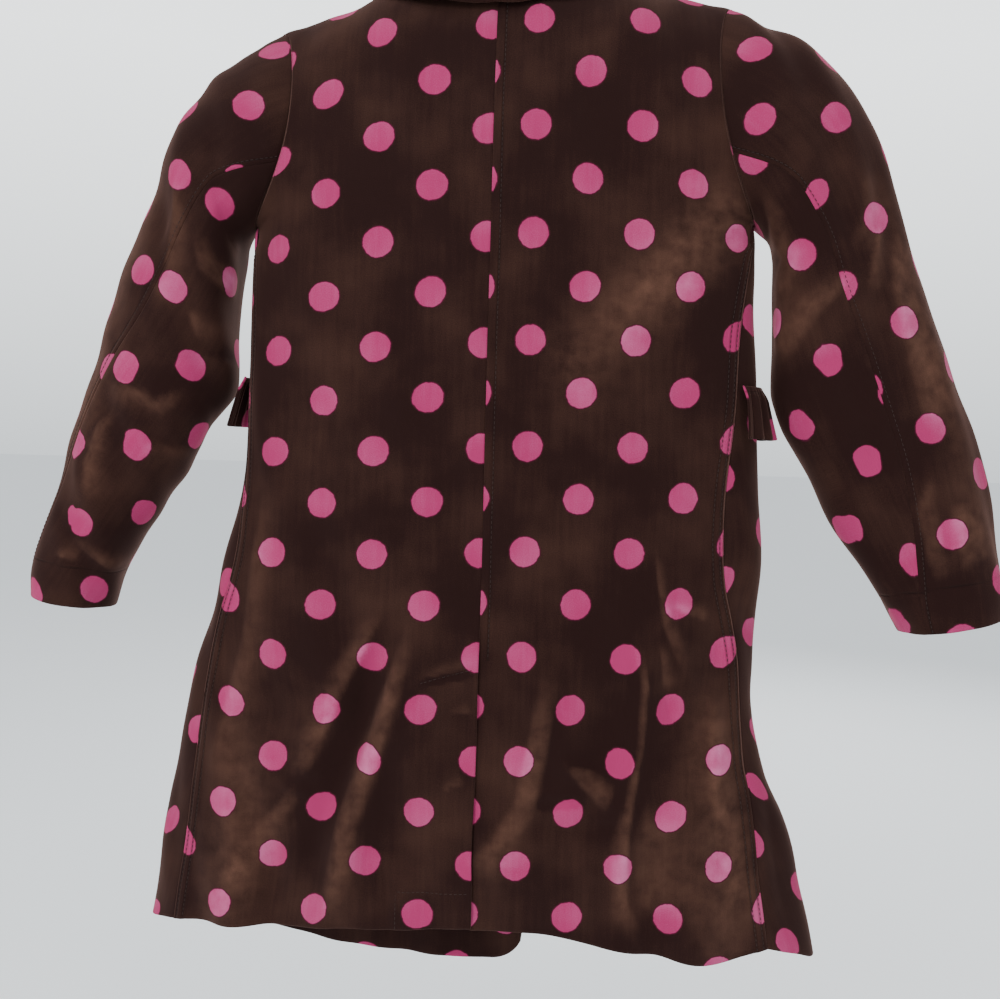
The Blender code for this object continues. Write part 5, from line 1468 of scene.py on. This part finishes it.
    # A stitched line pulls the pile down in a groove about 2 mm wide, drawn by the bump; the colour is
    # also darkened to 62 % there as painted shade in the groove.
    groove = add(
        tree,
        "MapRange",
        {"From Min": 0.0, "From Max": 0.0014, "To Min": 0.0, "To Max": 1.0},
        {"Value": (stitch, "Fac")},
        interpolation_type="SMOOTHSTEP",
    )
    groove_painted_shade = add(
        tree, "MapRange", {"From Min": 0.0, "From Max": 1.0, "To Min": 0.62, "To Max": 1.0},
        {"Value": (groove, "Result")},
    )
    dark = add(
        tree,
        "VectorMath",
        {},
        {0: (printed, "Color"), "Scale": (groove_painted_shade, "Result")},
        operation="SCALE",
    )
    height = add(
        tree, "Math", {1: 0.22}, {0: (pile, "Fac"), 2: (groove, "Result")}, operation="MULTIPLY_ADD"
    )
    bump = add(
        tree, "Bump", {"Strength": 0.7, "Distance": 0.0007}, {"Height": (height, "Value")}
    )
    tree.links.new(dark.outputs["Vector"], shader.inputs["Base Color"])
    tree.links.new(bump.outputs["Normal"], shader.inputs["Normal"])
    shader.inputs["Roughness"].default_value = 0.92
    shader.inputs["Specular IOR Level"].default_value = 0.12
    shader.inputs["Sheen Weight"].default_value = 0.32
    shader.inputs["Sheen Roughness"].default_value = 0.42
    shader.inputs["Sheen Tint"].default_value = linear("#b98a7c")
    return made


def wrong_side():
    """Brown cotton lining cloth, plain woven: matt, with a fine square weave."""
    made, tree, shader = new_material("brown plain-woven cotton lining")
    cloth = add(tree, "Attribute", attribute_name="cloth")
    # Threads are 0.4 mm apart in life and drawn at 1 mm, so that they show.
    scaled = add(tree, "Mapping", {"Scale": (1000.0, 1000.0, 1.0)}, {"Vector": (cloth, "Vector")})
    weave = add(tree, "TexChecker", {"Scale": 1.0}, {"Vector": (scaled, "Vector")})
    cloudy = add(tree, "TexNoise", {"Scale": 60.0, "Detail": 4.0}, {"Vector": (cloth, "Vector")})
    colour = add(
        tree,
        "MixRGB",
        {"Color1": linear("#2c1a16"), "Color2": linear("#3d2720")},
        {"Fac": (cloudy, "Fac")},
    )
    bump = add(tree, "Bump", {"Strength": 0.3, "Distance": 0.0003}, {"Height": (weave, "Fac")})
    tree.links.new(colour.outputs["Color"], shader.inputs["Base Color"])
    tree.links.new(bump.outputs["Normal"], shader.inputs["Normal"])
    shader.inputs["Roughness"].default_value = 0.85
    shader.inputs["Specular IOR Level"].default_value = 0.2
    return made


def plain(name, dark, light, roughness, scale, bump_height, sheen=0.0):
    """A ground colour clouded by noise, with the roughness and fine relief of its making."""
    made, tree, shader = new_material(name)
    place = add(tree, "TexCoord")
    cloudy = add(tree, "TexNoise", {"Scale": scale, "Detail": 4.0}, {"Vector": (place, "Object")})
    fine = add(tree, "TexNoise", {"Scale": scale * 12, "Detail": 2.0}, {"Vector": (place, "Object")})
    colour = add(
        tree, "MixRGB", {"Color1": linear(dark), "Color2": linear(light)}, {"Fac": (cloudy, "Fac")}
    )
    bump = add(tree, "Bump", {"Strength": 0.4, "Distance": bump_height}, {"Height": (fine, "Fac")})
    tree.links.new(colour.outputs["Color"], shader.inputs["Base Color"])
    tree.links.new(bump.outputs["Normal"], shader.inputs["Normal"])
    shader.inputs["Roughness"].default_value = roughness
    shader.inputs["Sheen Weight"].default_value = sheen
    return made


# ---------------------------------------------------------------- camera, light, floor


def basis(yaw, pitch, roll):
    """View direction, right and up from turns in degrees."""
    yaw, pitch, roll = np.radians([yaw, pitch, roll])
    d = np.array([np.sin(yaw) * np.cos(pitch), -np.cos(yaw) * np.cos(pitch), -np.sin(pitch)])
    right = unit(np.cross(d, [0, 0, 1]))
    up = np.cross(right, d)
    return d, np.cos(roll) * right + np.sin(roll) * up, np.cos(roll) * up - np.sin(roll) * right


def set_camera():
    """The camera of the photo: behind the coat, slightly turned and tipped."""
    d, right, up = basis(5.5, 2.7, 1.6)
    place = np.array([-0.0110, 0.045, -0.420]) - 0.641 * d
    data = bpy.data.cameras.new("camera")
    data.sensor_width = 36.0
    data.lens = 36.0
    data.clip_start = 0.01
    camera = bpy.data.objects.new("camera", data)
    bpy.context.scene.collection.objects.link(camera)
    rotation = np.stack([right, up, -d], axis=1)
    matrix = np.eye(4)
    matrix[:3, :3] = rotation
    matrix[:3, 3] = place
    camera.matrix_world = Matrix(matrix.tolist())
    bpy.context.scene.camera = camera


def area_light(name, place, target, size, power):
    """A round light that faces its target."""
    data = bpy.data.lights.new(name, "AREA")
    data.shape = "DISK"
    data.size = size
    data.energy = power
    light = bpy.data.objects.new(name, data)
    bpy.context.scene.collection.objects.link(light)
    way = unit(np.array(place, float) - np.array(target, float))
    right = unit(np.cross([0, 0, 1], way))
    matrix = np.eye(4)
    matrix[:3, :3] = np.stack([right, np.cross(way, right), way], axis=1)
    matrix[:3, 3] = place
    light.matrix_world = Matrix(matrix.tolist())


def set_stage():
    """Floor, pale room and lights."""
    floor_mesh = bpy.data.meshes.new("floor")
    half, drop = 40.0, 1.05
    corners = [(-half, -half, -drop), (half, -half, -drop), (half, half, -drop), (-half, half, -drop)]
    floor_mesh.from_pydata(corners, [], [(0, 1, 2, 3)])
    floor = bpy.data.objects.new("floor", floor_mesh)
    bpy.context.scene.collection.objects.link(floor)
    paint = plain("pale painted floor", "#e6e9eb", "#e9ecee", 0.9, 3.0, 0.0001)
    shader = next(node for node in paint.node_tree.nodes if node.type == "BSDF_PRINCIPLED")
    shader.inputs["Emission Color"].default_value = linear("#e6e9eb")
    shader.inputs["Emission Strength"].default_value = 0.3
    floor.data.materials.append(paint)
    set_world()
    area_light("window", (1.1, 1.9, 0.5), (0.0, 0.0, -0.40), 1.2, 38)
    area_light("ceiling", (-0.6, 1.3, 1.3), (0.0, 0.0, -0.40), 1.0, 16)
    area_light("front room", (-0.8, -2.0, 0.7), (0.0, 0.0, -0.40), 1.4, 34)


def set_world():
    """An even pale light all round; what is seen of it turns a little brighter upwards."""
    world = bpy.data.worlds.new("pale room")
    world.use_nodes = True
    tree = world.node_tree
    tree.nodes.clear()
    lighting = add(tree, "Background", {"Color": linear("#dfe4e8"), "Strength": 1.1})
    place = add(tree, "TexCoord")
    parts = add(tree, "SeparateXYZ", links={"Vector": (place, "Generated")})
    height = add(tree, "MapRange", {"From Min": -0.02, "From Max": 0.35}, {"Value": (parts, "Z")})
    wall = add(
        tree,
        "MixRGB",
        {"Color1": linear("#aaafb2"), "Color2": linear("#f4f8fa")},
        {"Fac": (height, "Result")},
    )
    seen = add(tree, "Background", {"Strength": SEEN_WORLD}, {"Color": (wall, "Color")})
    ray = add(tree, "LightPath")
    mixed = {0: (ray, "Is Camera Ray"), 1: (lighting, "Background"), 2: (seen, "Background")}
    both = add(tree, "MixShader", links=mixed)
    add(tree, "OutputWorld", links={"Surface": (both, "Shader")})
    bpy.context.scene.world = world


# ---------------------------------------------------------------- making

STITCHED = {}
VELVETEEN = velveteen()
WRONG_SIDE = wrong_side()
THREAD = plain("brown polyester thread", "#1c0d0a", "#2c1712", 0.9, 400.0, 0.0001)
HORN = plain("dark moulded polyester button", "#1c100d", "#33201a", 0.28, 180.0, 0.00005)
HOLE = plain("shadowed button hole", "#0a0605", "#120a08", 0.8, 400.0, 0.00005)
MOULDED = plain("pale moulded polypropylene", "#c9c6be", "#d6d3cb", 0.42, 90.0, 0.00008)

set_camera()
set_stage()
for side in SIDES:
    for face in FACES:
        build_panel(side, face)
    for piece in ("upper", "under"):
        build_sleeve(side, piece)
    build_flap(side)
build_collar()
for number in range(1, 5):
    build_button(number)
build_hanger()
stitches(
    [
        line_down("back_left", "last", TOPSTITCH * 0.45, (0.24, 0.75)),
        line_down("back_left", "last", TOPSTITCH * 1.25, (0.24, 0.75)),
        line_down("back_right", "last", TOPSTITCH * 0.45, (0.24, 0.75)),
        line_down("back_right", "last", TOPSTITCH * 1.25, (0.24, 0.75)),
        line_down("back_right", "centre", TOPSTITCH, (0.0, VENT_DROP)),
        line_down("sleeve_left_upper", "last", TOPSTITCH * 0.6),
        line_down("sleeve_right_upper", "last", TOPSTITCH * 0.6),
        line_between("back_left", (0.0385, 0.541), (0.0015, 0.530)),
        line_between("back_left", (0.0500, 0.6790), (0.0020, 0.6760)),
        line_between("back_left", (0.0500, 0.6790), (0.0500, 0.7040)),
    ]
)
